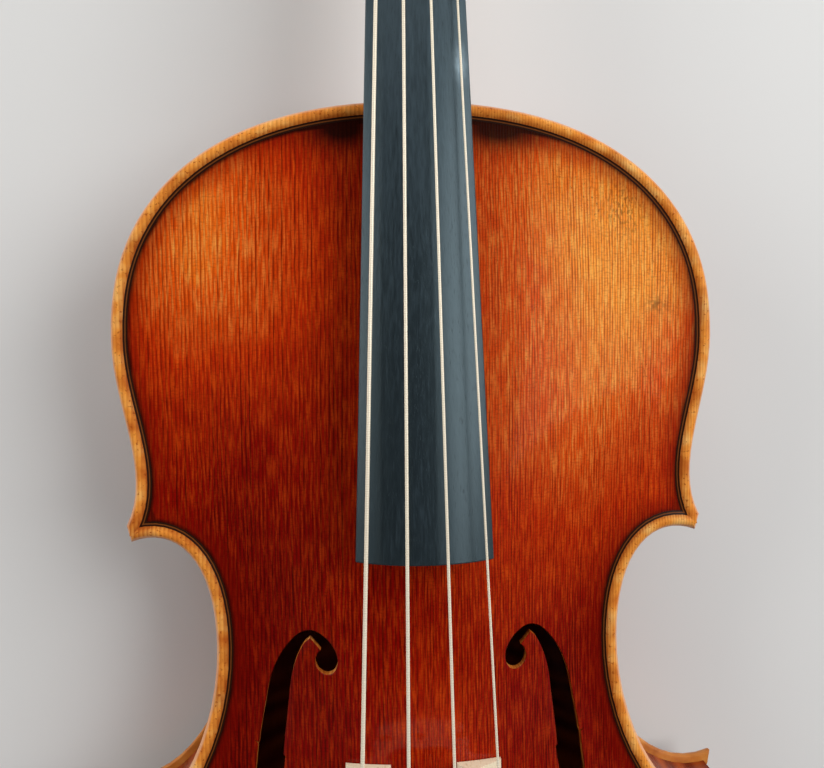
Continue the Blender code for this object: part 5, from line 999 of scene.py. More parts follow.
pegbox_stations = [NUT_END + PEGBOX_LENGTH * 1.05 * i / 36 for i in range(37)]
pegbox = shaped("pegbox_tool", loft_bm([
    box_section(pegbox_half_width(y), y, height_on(back_edge, y), height_on(front_edge, y)) for y in pegbox_stations
]), neck_maple)
cavity_length = CAVITY_END * PEGBOX_LENGTH - CAVITY_START
cavity_stations = [NUT_END + CAVITY_START + cavity_length * i / 20 for i in range(21)]
cavity = shaped("cavity_tool", loft_bm([
    box_section(pegbox_half_width(y) - CHEEK_WALL, y, height_on(back_edge, y) + PEGBOX_FLOOR,
                height_on(front_edge, y) + CAVITY_OVER)
    for y in cavity_stations
]), neck_maple)


def spiral_radius(turn):
    """Radius of the scroll's edge after a number of turns."""
    return SCROLL_RADIUS + (SCROLL_EYE_RADIUS - SCROLL_RADIUS) * (turn / SCROLL_TURNS) ** 0.86


def spiral_half_width(turn):
    """Half the width of the scroll after a number of turns."""
    return SCROLL_BACK_WIDTH / 2 + (SCROLL_EYE_WIDTH - SCROLL_BACK_WIDTH) / 2 * (turn / SCROLL_TURNS) ** 1.35


def spiral_point(step, radius, half, side):
    """A point of the scroll, at a step of the spiral."""
    angle = -math.pi / 2 + math.tau * step / TURN_STEPS
    return (side * half, SCROLL_CENTRE[0] + radius * math.cos(angle), SCROLL_CENTRE[1] + radius * math.sin(angle))


scroll_bm = bmesh.new()
last_step = round(SCROLL_TURNS * TURN_STEPS)
tops, feet, ledges = {}, {}, {}
for side in (-1, 1):
    tops[side] = [scroll_bm.verts.new(spiral_point(
        step, spiral_radius(step / TURN_STEPS), spiral_half_width(step / TURN_STEPS), side))
        for step in range(last_step + 1)]
    for step in range(TURN_STEPS, last_step + 1):
        near, far = spiral_radius(step / TURN_STEPS), spiral_radius(step / TURN_STEPS - 1)
        level = spiral_half_width(step / TURN_STEPS - 1)
        feet[side, step] = scroll_bm.verts.new(spiral_point(step, near, level, side))
        ledges[side, step] = [
            scroll_bm.verts.new(spiral_point(
                step, near + (far - near) * share,
                level - LEDGE_DEPTH * (far - near) * math.sin(math.pi * share), side))
            for share in LEDGE_SHARES
        ]
for step in range(TURN_STEPS - 1):
    scroll_bm.faces.new((tops[1][step], tops[1][step + 1], tops[-1][step + 1], tops[-1][step]))
before, at = TURN_STEPS - 1, TURN_STEPS
scroll_bm.faces.new((tops[1][before], tops[1][at], feet[1, at], feet[-1, at], tops[-1][at], tops[-1][before]))
scroll_bm.faces.new([tops[1][0], tops[-1][0]] + ledges[-1, at][::-1] + [feet[-1, at], feet[1, at]] + ledges[1, at])
for side in (-1, 1):
    for step in range(TURN_STEPS, last_step):
        scroll_bm.faces.new((feet[side, step], feet[side, step + 1], tops[side][step + 1], tops[side][step]))
        near = [feet[side, step]] + ledges[side, step] + [tops[side][step - TURN_STEPS]]
        far = [feet[side, step + 1]] + ledges[side, step + 1] + [tops[side][step + 1 - TURN_STEPS]]
        for i in range(len(near) - 1):
            scroll_bm.faces.new((near[i], far[i], far[i + 1], near[i + 1]))
    eye_rim = [tops[side][step] for step in range(last_step - TURN_STEPS, last_step + 1)]
    eye_rim += [feet[side, last_step]] + ledges[side, last_step]
    bmesh.ops.poke(scroll_bm, faces=[scroll_bm.faces.new(eye_rim)])
scroll = shaped("scroll_tool", scroll_bm, neck_maple)
ACROSS = Matrix.Rotation(math.pi / 2, 4, "Y")


def rod_bm(radius, length, segments, place=Matrix.Identity(4)):
    """A straight round rod along Z, or where a place puts it."""
    bm = bmesh.new()
    bmesh.ops.create_cone(bm, cap_ends=True, segments=segments, radius1=radius, radius2=radius, depth=length,
                          matrix=place)
    return bm


eye_place = Matrix.Translation((0, *SCROLL_CENTRE)) @ ACROSS
eye = shaped("scroll_eye_tool", rod_bm(SCROLL_EYE_RADIUS, EYE_STAND * SCROLL_EYE_WIDTH, 48, eye_place), neck_maple)


def tube_curve(name, points, radii, sides=4):
    """A round curve through points, with a radius at each."""
    curve = bpy.data.curves.new(name, "CURVE")
    curve.dimensions = "3D"
    curve.bevel_depth = 1.0
    curve.bevel_resolution = sides
    curve.use_fill_caps = True
    spline = curve.splines.new("POLY")
    spline.points.add(len(points) - 1)
    for target, point, radius in zip(spline.points, points, radii):
        target.co = (*point, 1.0)
        target.radius = radius
    made = bpy.data.objects.new(name, curve)
    scene.collection.objects.link(made)
    return made


def tube_mesh(name, points, radii, material, place, sides=4):
    """A round cord as a closed mesh."""
    curve = tube_curve(name, points, radii, sides)
    graph = bpy.context.evaluated_depsgraph_get()
    mesh = bpy.data.meshes.new_from_object(curve.evaluated_get(graph))
    bpy.data.objects.remove(curve, do_unlink=True)
    bm = bmesh.new()
    bm.from_mesh(mesh)
    return shaped(name, bm, material, place, 50)


flute_back = [(y, z) for y, z in back_edge[4::4] if y < NUT_END + 0.97 * PEGBOX_LENGTH]
flute_back += [(SCROLL_CENTRE[0] + spiral_radius(turn) * math.cos(-math.pi / 2 + math.tau * turn),
                SCROLL_CENTRE[1] + spiral_radius(turn) * math.sin(-math.pi / 2 + math.tau * turn))
               for turn in (i / 40 for i in range(0, 27))]
flute_line = np.array(flute_back)
flute_out = np.gradient(flute_line, axis=0)
flute_out /= np.linalg.norm(flute_out, axis=1)[:, None]
flute_out = np.column_stack((flute_out[:, 1], -flute_out[:, 0]))
flutes = []
for side in (-1, 1):
    points, radii = [], []
    for (y, z), (away_y, away_z) in zip(flute_line, flute_out):
        beyond = y > SCROLL_CENTRE[0] - 0.002 or z > SCROLL_CENTRE[1]
        half = SCROLL_BACK_WIDTH / 2 if beyond else pegbox_half_width(y)
        radius = half * FLUTE_RADIUS
        stand = radius * FLUTE_STAND
        points.append((side * half * FLUTE_SPREAD, y + away_y * stand, z + away_z * stand))
        radii.append(radius)
    flutes.append(tube_mesh(f"flute_{side}", points, radii, neck_maple, Matrix.Identity(4), 6))

bores = []
for joint in frame["joints"]:
    if joint["name"].startswith("peg_"):
        bore_place = Matrix.Translation(body_at.inverted() @ Vector(joint["pos_m"])) @ ACROSS
        bore_bm = rod_bm(PEG_BORE_RADIUS, PEG_BORE_LENGTH, 32, bore_place)
        bores.append(shaped(f"bore_{joint['name']}", bore_bm, neck_maple))


def fused(made, voxel, rounds):
    """Melts a joined body into one skin of small faces and softens it by some rounds of smoothing."""
    skin = made.modifiers.new("fuse", "REMESH")
    skin.mode = "VOXEL"
    skin.voxel_size = voxel
    settle(made)
    soften = made.modifiers.new("soften", "SMOOTH")
    soften.factor = 0.5
    soften.iterations = rounds
    return settle(made)


def refinished(made, material, place=Matrix.Identity(4), crease=None):
    """A carved piece put in its place, with one finish all over, smooth but for edges past the crease's angle."""
    made.data.transform(place)
    made.data.materials.clear()
    made.data.materials.append(material)
    made.data.shade_smooth()
    if crease:
        made.data.set_sharp_from_angle(angle=math.radians(crease))
    return made


carve(neck, "UNION", heel, pegbox, scroll, eye)
carve(neck, "DIFFERENCE", cavity, *flutes)
carve(neck, "DIFFERENCE", *bores)
refinished(fused(neck, NECK_VOXEL, NECK_SMOOTHING), neck_maple, body_at)
fitted(neck, "instrument", "neck_maple", "neck_and_scroll")

# Fingerboard and nut
# Ebony, round across and hollowed a little underneath where it stands out over the belly. It is rubbed to a satin
# slate, paler over the belly, and shows faint fibres and one pale scuff by the A string.

BOARD_HOLLOW = 0.0030
NUT_RISE = 0.0006
NUT_PROFILE = ((0.0, -0.0004), (0.06, 0.0), (0.4, 0.0), (0.7, -0.0012), (1.0, -0.0033))
SCOOP_SHARE = 0.85

ebony, ebony_shader, place = finish("ebony_satin", 0.38, coat=0.12, coat_roughness=0.25)
ebony_shader.inputs["Specular Tint"].default_value = (0.62, 0.90, 1.0, 1.0)
ebony_fibre = place.noise(1500, 26, 1500, 4.0)
ebony_cloud = place.noise(60, 9, 60, 3.0)
ebony_pores = place.noise(3800, 190, 3800, 2.0).rise(0.62, 0.70)
bleached = place.axis(1).rise(-0.04, 0.10) * (1 - place.axis(1).rise(0.200, 0.228))
ebony_tone = ebony_fibre * 0.6 + ebony_cloud * 0.4 + bleached * 0.30
scuff = patch(place.axis(0), place.axis(1), (0.0134, 0.0861), (0.0018, 0.0050)) * place.noise(1200, 300, 0, 4.0)
wire(
    ebony_shader,
    Base_Color=scuff.between((ebony_pores * 0.5).between(
        ebony_tone.ramp((0.25, paint(18, 23, 26)), (0.55, paint(27, 34, 38)), (0.9, paint(52, 63, 70))),
        paint(14, 16, 18)), paint(170, 190, 200)),
    Roughness=0.31 + ebony_fibre * 0.14 + ebony_pores * 0.1,
    Normal=raised(place, ebony_fibre * 0.6 - ebony_pores * 0.4, 0.00003),
)


def board_section(y, hollow):
    """The fingerboard's section: round on top, hollowed below beyond the neck."""
    half = board_width(y) / 2
    crown, floor_height = board_top(y), board_floor(y)
    arc = [half * (2 * i / 32 - 1) for i in range(33)]
    top = [(x, y, crown - crown_drop(x, BOARD_RADIUS)) for x in arc]
    scoop = [half * SCOOP_SHARE * (1 - 2 * i / 16) for i in range(17)]
    under = [(x, y, floor_height + hollow * (1 - (x / half / SCOOP_SHARE) ** 2)) for x in scoop]
    return top + [(half, y, floor_height)] + under + [(-half, y, floor_height)]


board_stations = [(NECK_LENGTH - GLUE_GAP, 0.0)] + [(0.15 - 0.0151 * i, 0.0) for i in range(1, 11)]
board_stations += [(-0.004 - 0.002 * i, BOARD_HOLLOW * gentle(i / 5)) for i in range(6)]
board_stations += [(-0.03 - 0.0191 * i, BOARD_HOLLOW) for i in range(6)] + [(-BOARD_OVERHANG, BOARD_HOLLOW)]


def eased(made, width, angle, harden=False):
    """Rounds off the edges of a piece that are sharper than an angle."""
    ease = made.modifiers.new("eased", "BEVEL")
    ease.width = width
    ease.segments = 3
    ease.limit_method = "ANGLE"
    ease.angle_limit = math.radians(angle)
    ease.harden_normals = harden
    return settle(made)


board_bm = loft_bm([board_section(y, hollow) for y, hollow in board_stations])
fingerboard = eased(shaped("fingerboard_ebony", board_bm, ebony, body_at), 0.0004, 40, harden=True)
fitted(fingerboard, "instrument", "ebony", "fingerboard")


def refined(name, node, material, width, body, slot, crease=30):
    """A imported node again, with its triangles merged and its edges eased by a small round."""
    bm = bmesh.new()
    bm.from_mesh(frame["nodes"][node].data)
    bmesh.ops.remove_doubles(bm, verts=bm.verts, dist=2e-6)
    bmesh.ops.dissolve_limit(bm, angle_limit=math.radians(1.5), verts=bm.verts, edges=bm.edges)
    sharp = [e for e in bm.edges if len(e.link_faces) == 2 and e.calc_face_angle(0.0) > math.radians(crease)]
    bmesh.ops.bevel(bm, geom=sharp, offset=width, segments=3, profile=0.5, affect="EDGES", material=-1,
                    clamp_overlap=True)
    return fitted(shaped(name, bm, material), body, slot, node)


nut_half = BOARD_WIDTH_NUT / 2
nut_sections = []
for share, fall in NUT_PROFILE:
    y = NECK_LENGTH + share * (NUT_LENGTH - GLUE_GAP)
    arc = [nut_half * (2 * i / 24 - 1) for i in range(25)]
    nut_sections.append([(x, y, board_top(NECK_LENGTH) - crown_drop(x, BOARD_RADIUS) + (NUT_RISE + fall)) for x in arc]
                        + [(nut_half, y, board_floor(y)), (-nut_half, y, board_floor(y))])
nut = shaped("nut_ebony", loft_bm(nut_sections), ebony, body_at, 50)
fitted(nut, "instrument", "ebony", "nut")

# Bridge
# A thin board of hard maple, cut out to two feet, two side kidneys and a heart, and tapered to its crown. It stands
# on the belly by the strings' pressure alone.

STOP_LENGTH = 0.2165
BRIDGE_TOP_HEIGHT = 0.0529
BRIDGE_TOP_RADIUS = 0.042
BRIDGE_FOOT_SPAN = 0.0502
BRIDGE_FOOT_GAP = 0.0212
BRIDGE_FOOT_THICKNESS = 0.0046
BRIDGE_TOP_THICKNESS = 0.0018
BRIDGE_EASE = 0.00022
HEART_SIZE = (0.0034, 0.0030)

bridge_maple, bridge_shader, place = finish("bridge_maple", 0.45, coat=0.1, coat_roughness=0.3)
bridge_flecks = place.noise(1400, 200, 330, 2.0)
bridge_fibre = place.noise(160, 200, 2600, 3.0)
wire(
    bridge_shader,
    Base_Color=((bridge_flecks - 0.55).math("MAXIMUM", 0.0) * 2.2 + (bridge_fibre - 0.5) * 0.3 + 0.08).between(
        paint(244, 228, 196), paint(196, 148, 96)),
    Normal=raised(place, bridge_fibre, 0.00003),
)
BRIDGE_Y = -STOP_LENGTH
foot_out, foot_in = BRIDGE_FOOT_SPAN / 2, BRIDGE_FOOT_GAP / 2
foot_base = BELLY_FACE + BELLY_ARCH


def bridge_level(share):
    """A height between the belly's crown and the bridge's crown."""
    return foot_base + (BRIDGE_TOP_HEIGHT - foot_base) * share


def foot_height(x):
    """Height of the bridge's feet over the belly."""
    rows = (-BRIDGE_FOOT_THICKNESS / 2, 0, BRIDGE_FOOT_THICKNESS / 2)
    return BELLY_FACE + max(plate_height(x, BRIDGE_Y + row, BELLY_ARCH) for row in rows) + GLUE_GAP


foot_steps = [foot_in + (foot_out - foot_in) * i / 6 for i in range(7)]
feet_line = [np.array((x, foot_height(x))) for x in foot_steps]
outer_side = [(foot_out * x, z) for x, z in (
    (1.0, feet_line[-1][1] + 0.0016), (0.86, bridge_level(0.035)), (0.71, bridge_level(0.11)),
    (0.73, bridge_level(0.25)), (0.84, bridge_level(0.37)), (0.83, bridge_level(0.44)), (0.66, bridge_level(0.46)),
    (0.52, bridge_level(0.50)), (0.50, bridge_level(0.57)), (0.62, bridge_level(0.61)), (0.80, bridge_level(0.60)),
    (0.92, bridge_level(0.68)), (0.94, bridge_level(0.76)),
)]
crown_steps = [0.90, 0.88, 0.80, 0.70, 0.60, 0.50, 0.40, 0.30, 0.20, 0.10]
top_edge = [np.array((foot_out * x, BRIDGE_TOP_HEIGHT - crown_drop(foot_out * x, BRIDGE_TOP_RADIUS)))
            for x in crown_steps]
inner_side = (
    (0.0, bridge_level(0.30)), (foot_in * 0.35, bridge_level(0.335)), (foot_in * 0.85, bridge_level(0.31)),
    (foot_in * 1.18, bridge_level(0.22)), (foot_in * 1.22, bridge_level(0.10)), (foot_in * 1.02, bridge_level(0.035)),
)
half_outline = rounded(inner_side, 4) + feet_line + rounded(outer_side, 4) + top_edge
bridge_loop = half_outline + [np.array((0.0, BRIDGE_TOP_HEIGHT))] + [p * (-1, 1) for p in reversed(half_outline[1:])]
heart_wide, heart_high = HEART_SIZE
heart = [(heart_wide * math.sin(t) ** 3, bridge_level(0.60) + heart_high * (math.cos(t) - 0.38 * math.cos(2 * t)))
         for t in (math.tau * (i + 0.5) / 40 for i in range(40))]
board = bpy.data.curves.new("bridge_board", "CURVE")
board.dimensions = "2D"
board.fill_mode = "BOTH"
board.extrude = 0.5
for loop in (bridge_loop, heart):
    spline = board.splines.new("POLY")
    spline.points.add(len(loop) - 1)
    spline.use_cyclic_u = True
    for target, (x, z) in zip(spline.points, loop):
        target.co = (x, z, 0.0, 1.0)
bridge_curve = bpy.data.objects.new("bridge_curve", board)
scene.collection.objects.link(bridge_curve)
bridge_bm = bmesh.new()
graph = bpy.context.evaluated_depsgraph_get()
bridge_bm.from_mesh(bpy.data.meshes.new_from_object(bridge_curve.evaluated_get(graph)))
bpy.data.objects.remove(bridge_curve, do_unlink=True)
bmesh.ops.remove_doubles(bridge_bm, verts=bridge_bm.verts, dist=1e-6)
for vert in bridge_bm.verts:
    x, z, side = vert.co
    share = min(max((z - BELLY_ARCH) / (BRIDGE_TOP_HEIGHT - BELLY_ARCH), 0.0), 1.0)
    thickness = BRIDGE_FOOT_THICKNESS + (BRIDGE_TOP_THICKNESS - BRIDGE_FOOT_THICKNESS) * share
    vert.co = (x, BRIDGE_Y + side * thickness, z)
bridge_edges = [e for e in bridge_bm.edges if len(e.link_faces) == 2 and e.calc_face_angle(0.0) > math.radians(60)]
bmesh.ops.bevel(bridge_bm, geom=bridge_edges, offset=BRIDGE_EASE, segments=2, profile=0.5, affect="EDGES",
                material=-1, clamp_overlap=True)
bridge = shaped("bridge_cut", bridge_bm, bridge_maple, body_at)
fitted(bridge, "instrument", "bridge_maple", "bridge")

# Tailpiece, saddle, end button and tailgut
# Ebony again. The tailgut runs from under the tailpiece over the saddle and round the neck of the end button, which
# is driven into the end block.

AFTER_LENGTH = 0.0620
TAILPIECE_LENGTH = 0.118
TAILPIECE_WIDTH_HEAD = 0.0440
TAILPIECE_WIDTH_TAIL = 0.0220
TAILPIECE_WALL = 0.0048
TAILPIECE_RADIUS = 0.034
TAILPIECE_SLOPE = 0.200
TAIL_SPACING = 0.0300
KEYHOLE_RADIUS = 0.0021
KEYHOLE_BEHIND_FRET = 0.0085
KEYHOLE_DEPTH = 0.020
SLIT_SIZE = (0.0016, 0.0060)
SLIT_AHEAD = 0.0035
FRET_RISE = 0.0012
HEAD_PAST_FRET = 0.004
HEAD_DROP = 0.0022
TAIL_HEAD_Y = BRIDGE_Y - AFTER_LENGTH + HEAD_PAST_FRET
TAIL_END_Y = TAIL_HEAD_Y - TAILPIECE_LENGTH
TAIL_HEAD_Z = BRIDGE_TOP_HEIGHT - TAILPIECE_SLOPE * (AFTER_LENGTH - HEAD_PAST_FRET) - HEAD_DROP
FRET_Y = BRIDGE_Y - AFTER_LENGTH
KEYHOLE_Y = FRET_Y - KEYHOLE_BEHIND_FRET
STRINGS = ("c", "g", "d", "a")
STRING_RADII = {"c": 0.00060, "g": 0.00052, "d": 0.00044, "a": 0.00036}


def tail_top(y):
    """Height of the tailpiece's crown."""
    return TAIL_HEAD_Z + TAILPIECE_SLOPE * (y - TAIL_HEAD_Y)


def tail_half_width(y):
    """Half the width of the tailpiece."""
    share = min(max((TAIL_HEAD_Y - y) / TAILPIECE_LENGTH, 0.0), 1.0)
    return (TAILPIECE_WIDTH_HEAD + (TAILPIECE_WIDTH_TAIL - TAILPIECE_WIDTH_HEAD) * gentle(share) ** 0.8) / 2


def tail_section(y, narrow):
    """The tailpiece's section: round on top, with a thin edge and a hollow underside."""
    half = tail_half_width(y) * narrow
    arc = [half * (2 * i / 28 - 1) for i in range(29)]
    top = [(x, y, tail_top(y) - crown_drop(x, TAILPIECE_RADIUS)) for x in arc]
    return top + [(x, y, z - TAILPIECE_WALL) for x, y, z in reversed(top)]


tail_rows = [(0.0, 0.90), (0.008, 0.955), (0.02, 0.985), (0.035, 1.0)]
tail_rows += [(0.035 + 0.9 * i / 18, 1.0) for i in range(1, 19)] + [(0.965, 0.985), (0.985, 0.93), (1.0, 0.82)]
tailpiece = shaped("tailpiece_ebony", loft_bm([
    tail_section(TAIL_HEAD_Y - share * TAILPIECE_LENGTH, narrow) for share, narrow in tail_rows
]), ebony)


def string_place(number, spacing):
    """Where a string lies across the instrument: 0 is the C string on the bass side, 3 the A string."""
    return spacing * (number / 3 - 0.5)


def on_tailpiece(number):
    """The frame of the place on the tailpiece where a string is hitched: Z stands out of the surface."""
    x = string_place(number, TAIL_SPACING)
    surface = tail_top(KEYHOLE_Y) - crown_drop(x, TAILPIECE_RADIUS)
    forward = Vector((0, 1, TAILPIECE_SLOPE)).normalized()
    outward = Vector((x / math.sqrt(TAILPIECE_RADIUS**2 - x * x), -TAILPIECE_SLOPE, 1)).normalized()
    turn = Matrix((forward.cross(outward), forward, outward)).transposed().to_4x4()
    return Matrix.Translation((x, KEYHOLE_Y, surface)) @ turn


keyholes = []
for number, name in enumerate(STRINGS):
    hole_bm = rod_bm(KEYHOLE_RADIUS, KEYHOLE_DEPTH, 28)
    keyholes.append(shaped(f"keyhole_{name}", hole_bm, ebony, on_tailpiece(number)))
    if name != "a":
        slit_bm = bmesh.new()
        slit_box = Matrix.Translation((0, SLIT_AHEAD, 0)) @ Matrix.Diagonal((*SLIT_SIZE, KEYHOLE_DEPTH, 1))
        bmesh.ops.create_cube(slit_bm, size=1.0, matrix=slit_box)
        keyholes.append(shaped(f"slit_{name}", slit_bm, ebony, on_tailpiece(number)))
carve(tailpiece, "DIFFERENCE", *keyholes)
refinished(eased(tailpiece, 0.0005, 45), ebony, body_at, 40)
fitted(tailpiece, "instrument", "ebony", "tailpiece")
refined("tailpiece_fret_ebony", "tailpiece_fret", ebony, 0.0002, "instrument", "ebony", 50)
refined("saddle_ebony", "saddle", ebony, 0.0006, "instrument", "ebony")


def turned_bm(profile, steps=48):
    """A turned shape: a line of radius and height, spun about Z."""
    bm = bmesh.new()
    verts = [bm.verts.new((radius, 0, height)) for radius, height in profile]
    edges = [bm.edges.new(pair) for pair in zip(verts, verts[1:])]
    bmesh.ops.spin(bm, geom=verts + edges, cent=(0, 0, 0), axis=(0, 0, 1), angle=math.tau, steps=steps,
                   use_merge=True)
    return bm


def rounded_profile(points, steps=4):
    """A profile with soft bends, from a few radius and height pairs."""
    return [tuple(p) for p in rounded(points, steps)]


BUTTON_HEAD_RADIUS = 0.0072
BUTTON_STAND = 0.0125
BUTTON_Z = -0.45 * RIB_HEIGHT
RIB_END_Y = -BODY_LENGTH + EDGE_OVERHANG
head = BUTTON_HEAD_RADIUS
button_profile = [(0.0, BUTTON_STAND), (head * 0.75, BUTTON_STAND)]
button_profile += rounded_profile([
    (head * 0.78, BUTTON_STAND - 0.0001), (head, BUTTON_STAND - 0.0018), (head * 0.96, BUTTON_STAND - 0.0045),
    (head * 0.68, BUTTON_STAND - 0.0062), (head * 0.62, 0.0036), (head * 0.66, 0.0026), (head * 0.80, 0.0016),
    (head * 0.80, 0.0004),
])
button_profile += [(0.0040, 0.0003), (0.0034, -0.018), (0.0, -0.018)]
button_place = body_at @ Matrix.Translation((0, RIB_END_Y, BUTTON_Z)) @ Matrix.Rotation(math.pi / 2, 4, "X")
end_button = shaped("end_button_turned", turned_bm(button_profile), ebony, button_place)
fitted(end_button, "instrument", "ebony", "end_button")

TAILGUT_RADIUS = 0.0009
SADDLE_DEPTH = 0.0065
SADDLE_HEIGHT = 0.0085
GUT_SPREAD = 0.0046
GUT_TUCK = 0.012
GUT_BRAID = 0.0009

gut_material, gut_shader, place = finish("tailgut_cord", 0.42)
braid_x, braid_y = place.axis(0) / GUT_BRAID, place.axis(1) / GUT_BRAID
gut_braid = (braid_y + braid_x).math("SINE") * (braid_y - braid_x).math("SINE")
wire(gut_shader, Base_Color=(gut_braid * 0.5 + 0.5).between(paint(16, 16, 17), paint(44, 43, 42)))
saddle_front, saddle_back = -BODY_LENGTH + SADDLE_DEPTH, -BODY_LENGTH + GLUE_GAP
saddle_crest = BELLY_FACE + SADDLE_HEIGHT + GLUE_GAP + TAILGUT_RADIUS


def gut_under_tail(y):
    """Height of the tailgut's middle where it lies against the underside of the tailpiece."""
    return tail_top(y) - crown_drop(GUT_SPREAD, TAILPIECE_RADIUS) - TAILPIECE_WALL - TAILGUT_RADIUS - 2 * GLUE_GAP


loop_radius = head * 0.68 + TAILGUT_RADIUS + GLUE_GAP
loop_y = RIB_END_Y - 0.0026 - TAILGUT_RADIUS - 0.0012
gut_right = [np.array(p) for p in (
    (GUT_SPREAD, TAIL_END_Y + GUT_TUCK, gut_under_tail(TAIL_END_Y + GUT_TUCK)),
    (GUT_SPREAD, TAIL_END_Y + 0.001, gut_under_tail(TAIL_END_Y)),
    (GUT_SPREAD, saddle_front - 0.0034, saddle_crest),
    (GUT_SPREAD + 0.0002, saddle_back - 0.0007, saddle_crest - 0.0016),
    (GUT_SPREAD + 0.0006, saddle_back - TAILGUT_RADIUS - 0.0006, saddle_crest - 0.0045),
    (loop_radius, loop_y - 0.0006, BUTTON_Z + 0.006),
)]
gut_loop = [np.array((loop_radius * math.cos(t), loop_y, BUTTON_Z + loop_radius * math.sin(t)))
            for t in (-math.pi * i / 24 for i in range(25))]
gut_route = rounded(gut_right, 2)[:-1] + gut_loop + rounded([p * (-1, 1, 1) for p in reversed(gut_right)], 2)[1:]
tailgut = tube_mesh("tailgut_cord", gut_route, [TAILGUT_RADIUS] * len(gut_route), gut_material, body_at)
fitted(tailgut, "instrument", "tailgut_cord", "tailgut")

# Pegs
# Turned from ebony, with a tapered shank, a collar and a flat thumb piece that is dished on both faces and ends in a
# small pip. Each turns in its pair of holes, and its string is wound on it.

PEG_RADIUS = 0.0040
PEG_TAPER = 1 / 60
PEG_COLLAR_GAP = 0.009
PEG_TIP_STAND = 0.0015
COLLAR_LENGTH = 0.0060
THUMB_LENGTH = 0.0250
THUMB_WIDTH = 0.0200
THUMB_THICKNESS = 0.0078
THUMB_TURNS = {"c": 25, "g": -15, "d": 50, "a": -40}
THUMB_FLARE = 0.16
DISH_DEPTH, DISH_REACH = 0.42, 0.30


def shank_radius(reach):
    """Radius of a peg's tapered shank at a distance along it."""
    return PEG_RADIUS + reach * PEG_TAPER


joint_of = {joint["child"]: joint for joint in frame["joints"]}
peg_places = {}
for name in STRINGS:
    joint = joint_of[f"peg_{name}"]
    centre = body_at.inverted() @ Vector(joint["pos_m"])
    side = round(joint["axis"][0])
    peg_places[name] = (centre.y, centre.z, side)
    half = pegbox_half_width(centre.y)
    collar, tip = half + PEG_COLLAR_GAP, -half - PEG_TIP_STAND
    profile = [(0.0, collar + COLLAR_LENGTH + 0.003), (0.0030, collar + COLLAR_LENGTH + 0.003)]
    profile += rounded_profile([
        (0.0031, collar + COLLAR_LENGTH + 0.0015), (0.0036, collar + COLLAR_LENGTH * 0.95),
        (0.0050, collar + COLLAR_LENGTH * 0.72), (0.0058, collar + COLLAR_LENGTH * 0.45),
        (0.0057, collar + COLLAR_LENGTH * 0.15), (0.0047, collar + 0.0001),
    ])
    shank = [collar + (tip - collar) * i / 8 for i in range(8)]
    profile += [(shank_radius(reach), reach) for reach in shank]
    end = shank_radius(tip)
    profile += rounded_profile([(end, tip + 0.0008), (end * 0.85, tip + 0.0001), (end * 0.5, tip - 0.0002)])
    profile += [(0.0, tip - 0.0003)]
    peg_place = body_at @ Matrix.Translation(centre) @ Matrix.Rotation(side * math.pi / 2, 4, "Y")
    peg = shaped(f"peg_turned_{name}", turned_bm(profile), ebony, peg_place, 45)
    thumb_bm = bmesh.new()
    bmesh.ops.create_uvsphere(thumb_bm, u_segments=40, v_segments=28, radius=0.5)
    for vert in thumb_bm.verts:
        x, y, z = vert.co
        spread = 1 + THUMB_FLARE * math.sin(math.pi * z)
        dish = 1 - DISH_DEPTH * math.exp(-((x / DISH_REACH) ** 2 + ((z - 0.03) / DISH_REACH) ** 2))
        vert.co = (x * spread, y * dish, z)
    scale = Matrix.Diagonal((THUMB_WIDTH * 0.93, THUMB_THICKNESS, THUMB_LENGTH, 1))
    thumb_turn = Matrix.Rotation(math.radians(THUMB_TURNS[name]), 4, "Z")
    thumb_at = Matrix.Translation((0, 0, collar + COLLAR_LENGTH + THUMB_LENGTH / 2))
    thumb = shaped(f"thumb_{name}", thumb_bm, ebony, peg_place @ thumb_at @ thumb_turn @ scale)
    refinished(carve(peg, "UNION", thumb), ebony, crease=45)
    fitted(peg, f"peg_{name}", "ebony", f"peg_{name}")

# Fine tuner of the A string
# A plated bracket under the A string's hole, held by a round nut below, with a lever on a pin and a knurled screw
# that tilts it.

plated, plated_shader, place = finish("nickel_plate", 0.22, metallic=1.0)
plate_scuffs = place.noise(700, 700, 700, 4.0)
wire(
    plated_shader,
    Base_Color=plate_scuffs.between(paint(186, 184, 178), paint(222, 220, 214)),
    Roughness=0.16 + plate_scuffs * 0.18,
)
refined("tuner_bracket", "tuner_body", plated, 0.00018, "instrument", "clamp_metal")
refined("tuner_washer_nut", "tuner_nut", plated, 0.0002, "instrument", "clamp_metal")
refined("tuner_rocker", "tuner_lever", plated, 0.00015, "tuner_lever", "clamp_metal")

PLATE_TOP = 0.0015 + 0.0012
SCREW_LOW = -0.0072
KNURLS = 60
KNURL_DEPTH = 0.05
tuner_place = body_at @ on_tailpiece(STRINGS.index("a"))
head_low = PLATE_TOP + 2 * GLUE_GAP
screw_bm = turned_bm([(0.0, head_low + 0.0049), (0.0020, head_low + 0.0050), (0.0027, head_low + 0.0047),
                      (0.0030, head_low + 0.0042), (0.0030, head_low + 0.0010), (0.0026, head_low + 0.0003),
                      (0.0020, head_low), (0.00085, head_low), (0.00085, SCREW_LOW + 0.0003),
                      (0.0004, SCREW_LOW), (0.0, SCREW_LOW)], KNURLS)
for vert in screw_bm.verts:
    reach = math.hypot(vert.co.x, vert.co.y)
    if reach > 0.0028:
        turn = math.atan2(vert.co.y, vert.co.x)
        groove = 1 - KNURL_DEPTH * (round(turn / math.tau * KNURLS) % 2)
        vert.co.x *= groove
        vert.co.y *= groove
fitted(shaped("tuner_knob_screw", screw_bm, plated, tuner_place), "tuner_screw", "clamp_metal", "tuner_screw")

# Strings
# Wound strings, from their hitch on the tailpiece over the bridge and the nut to three turns round each peg. The
# winding is pale and satin, and coloured silk wraps both ends.

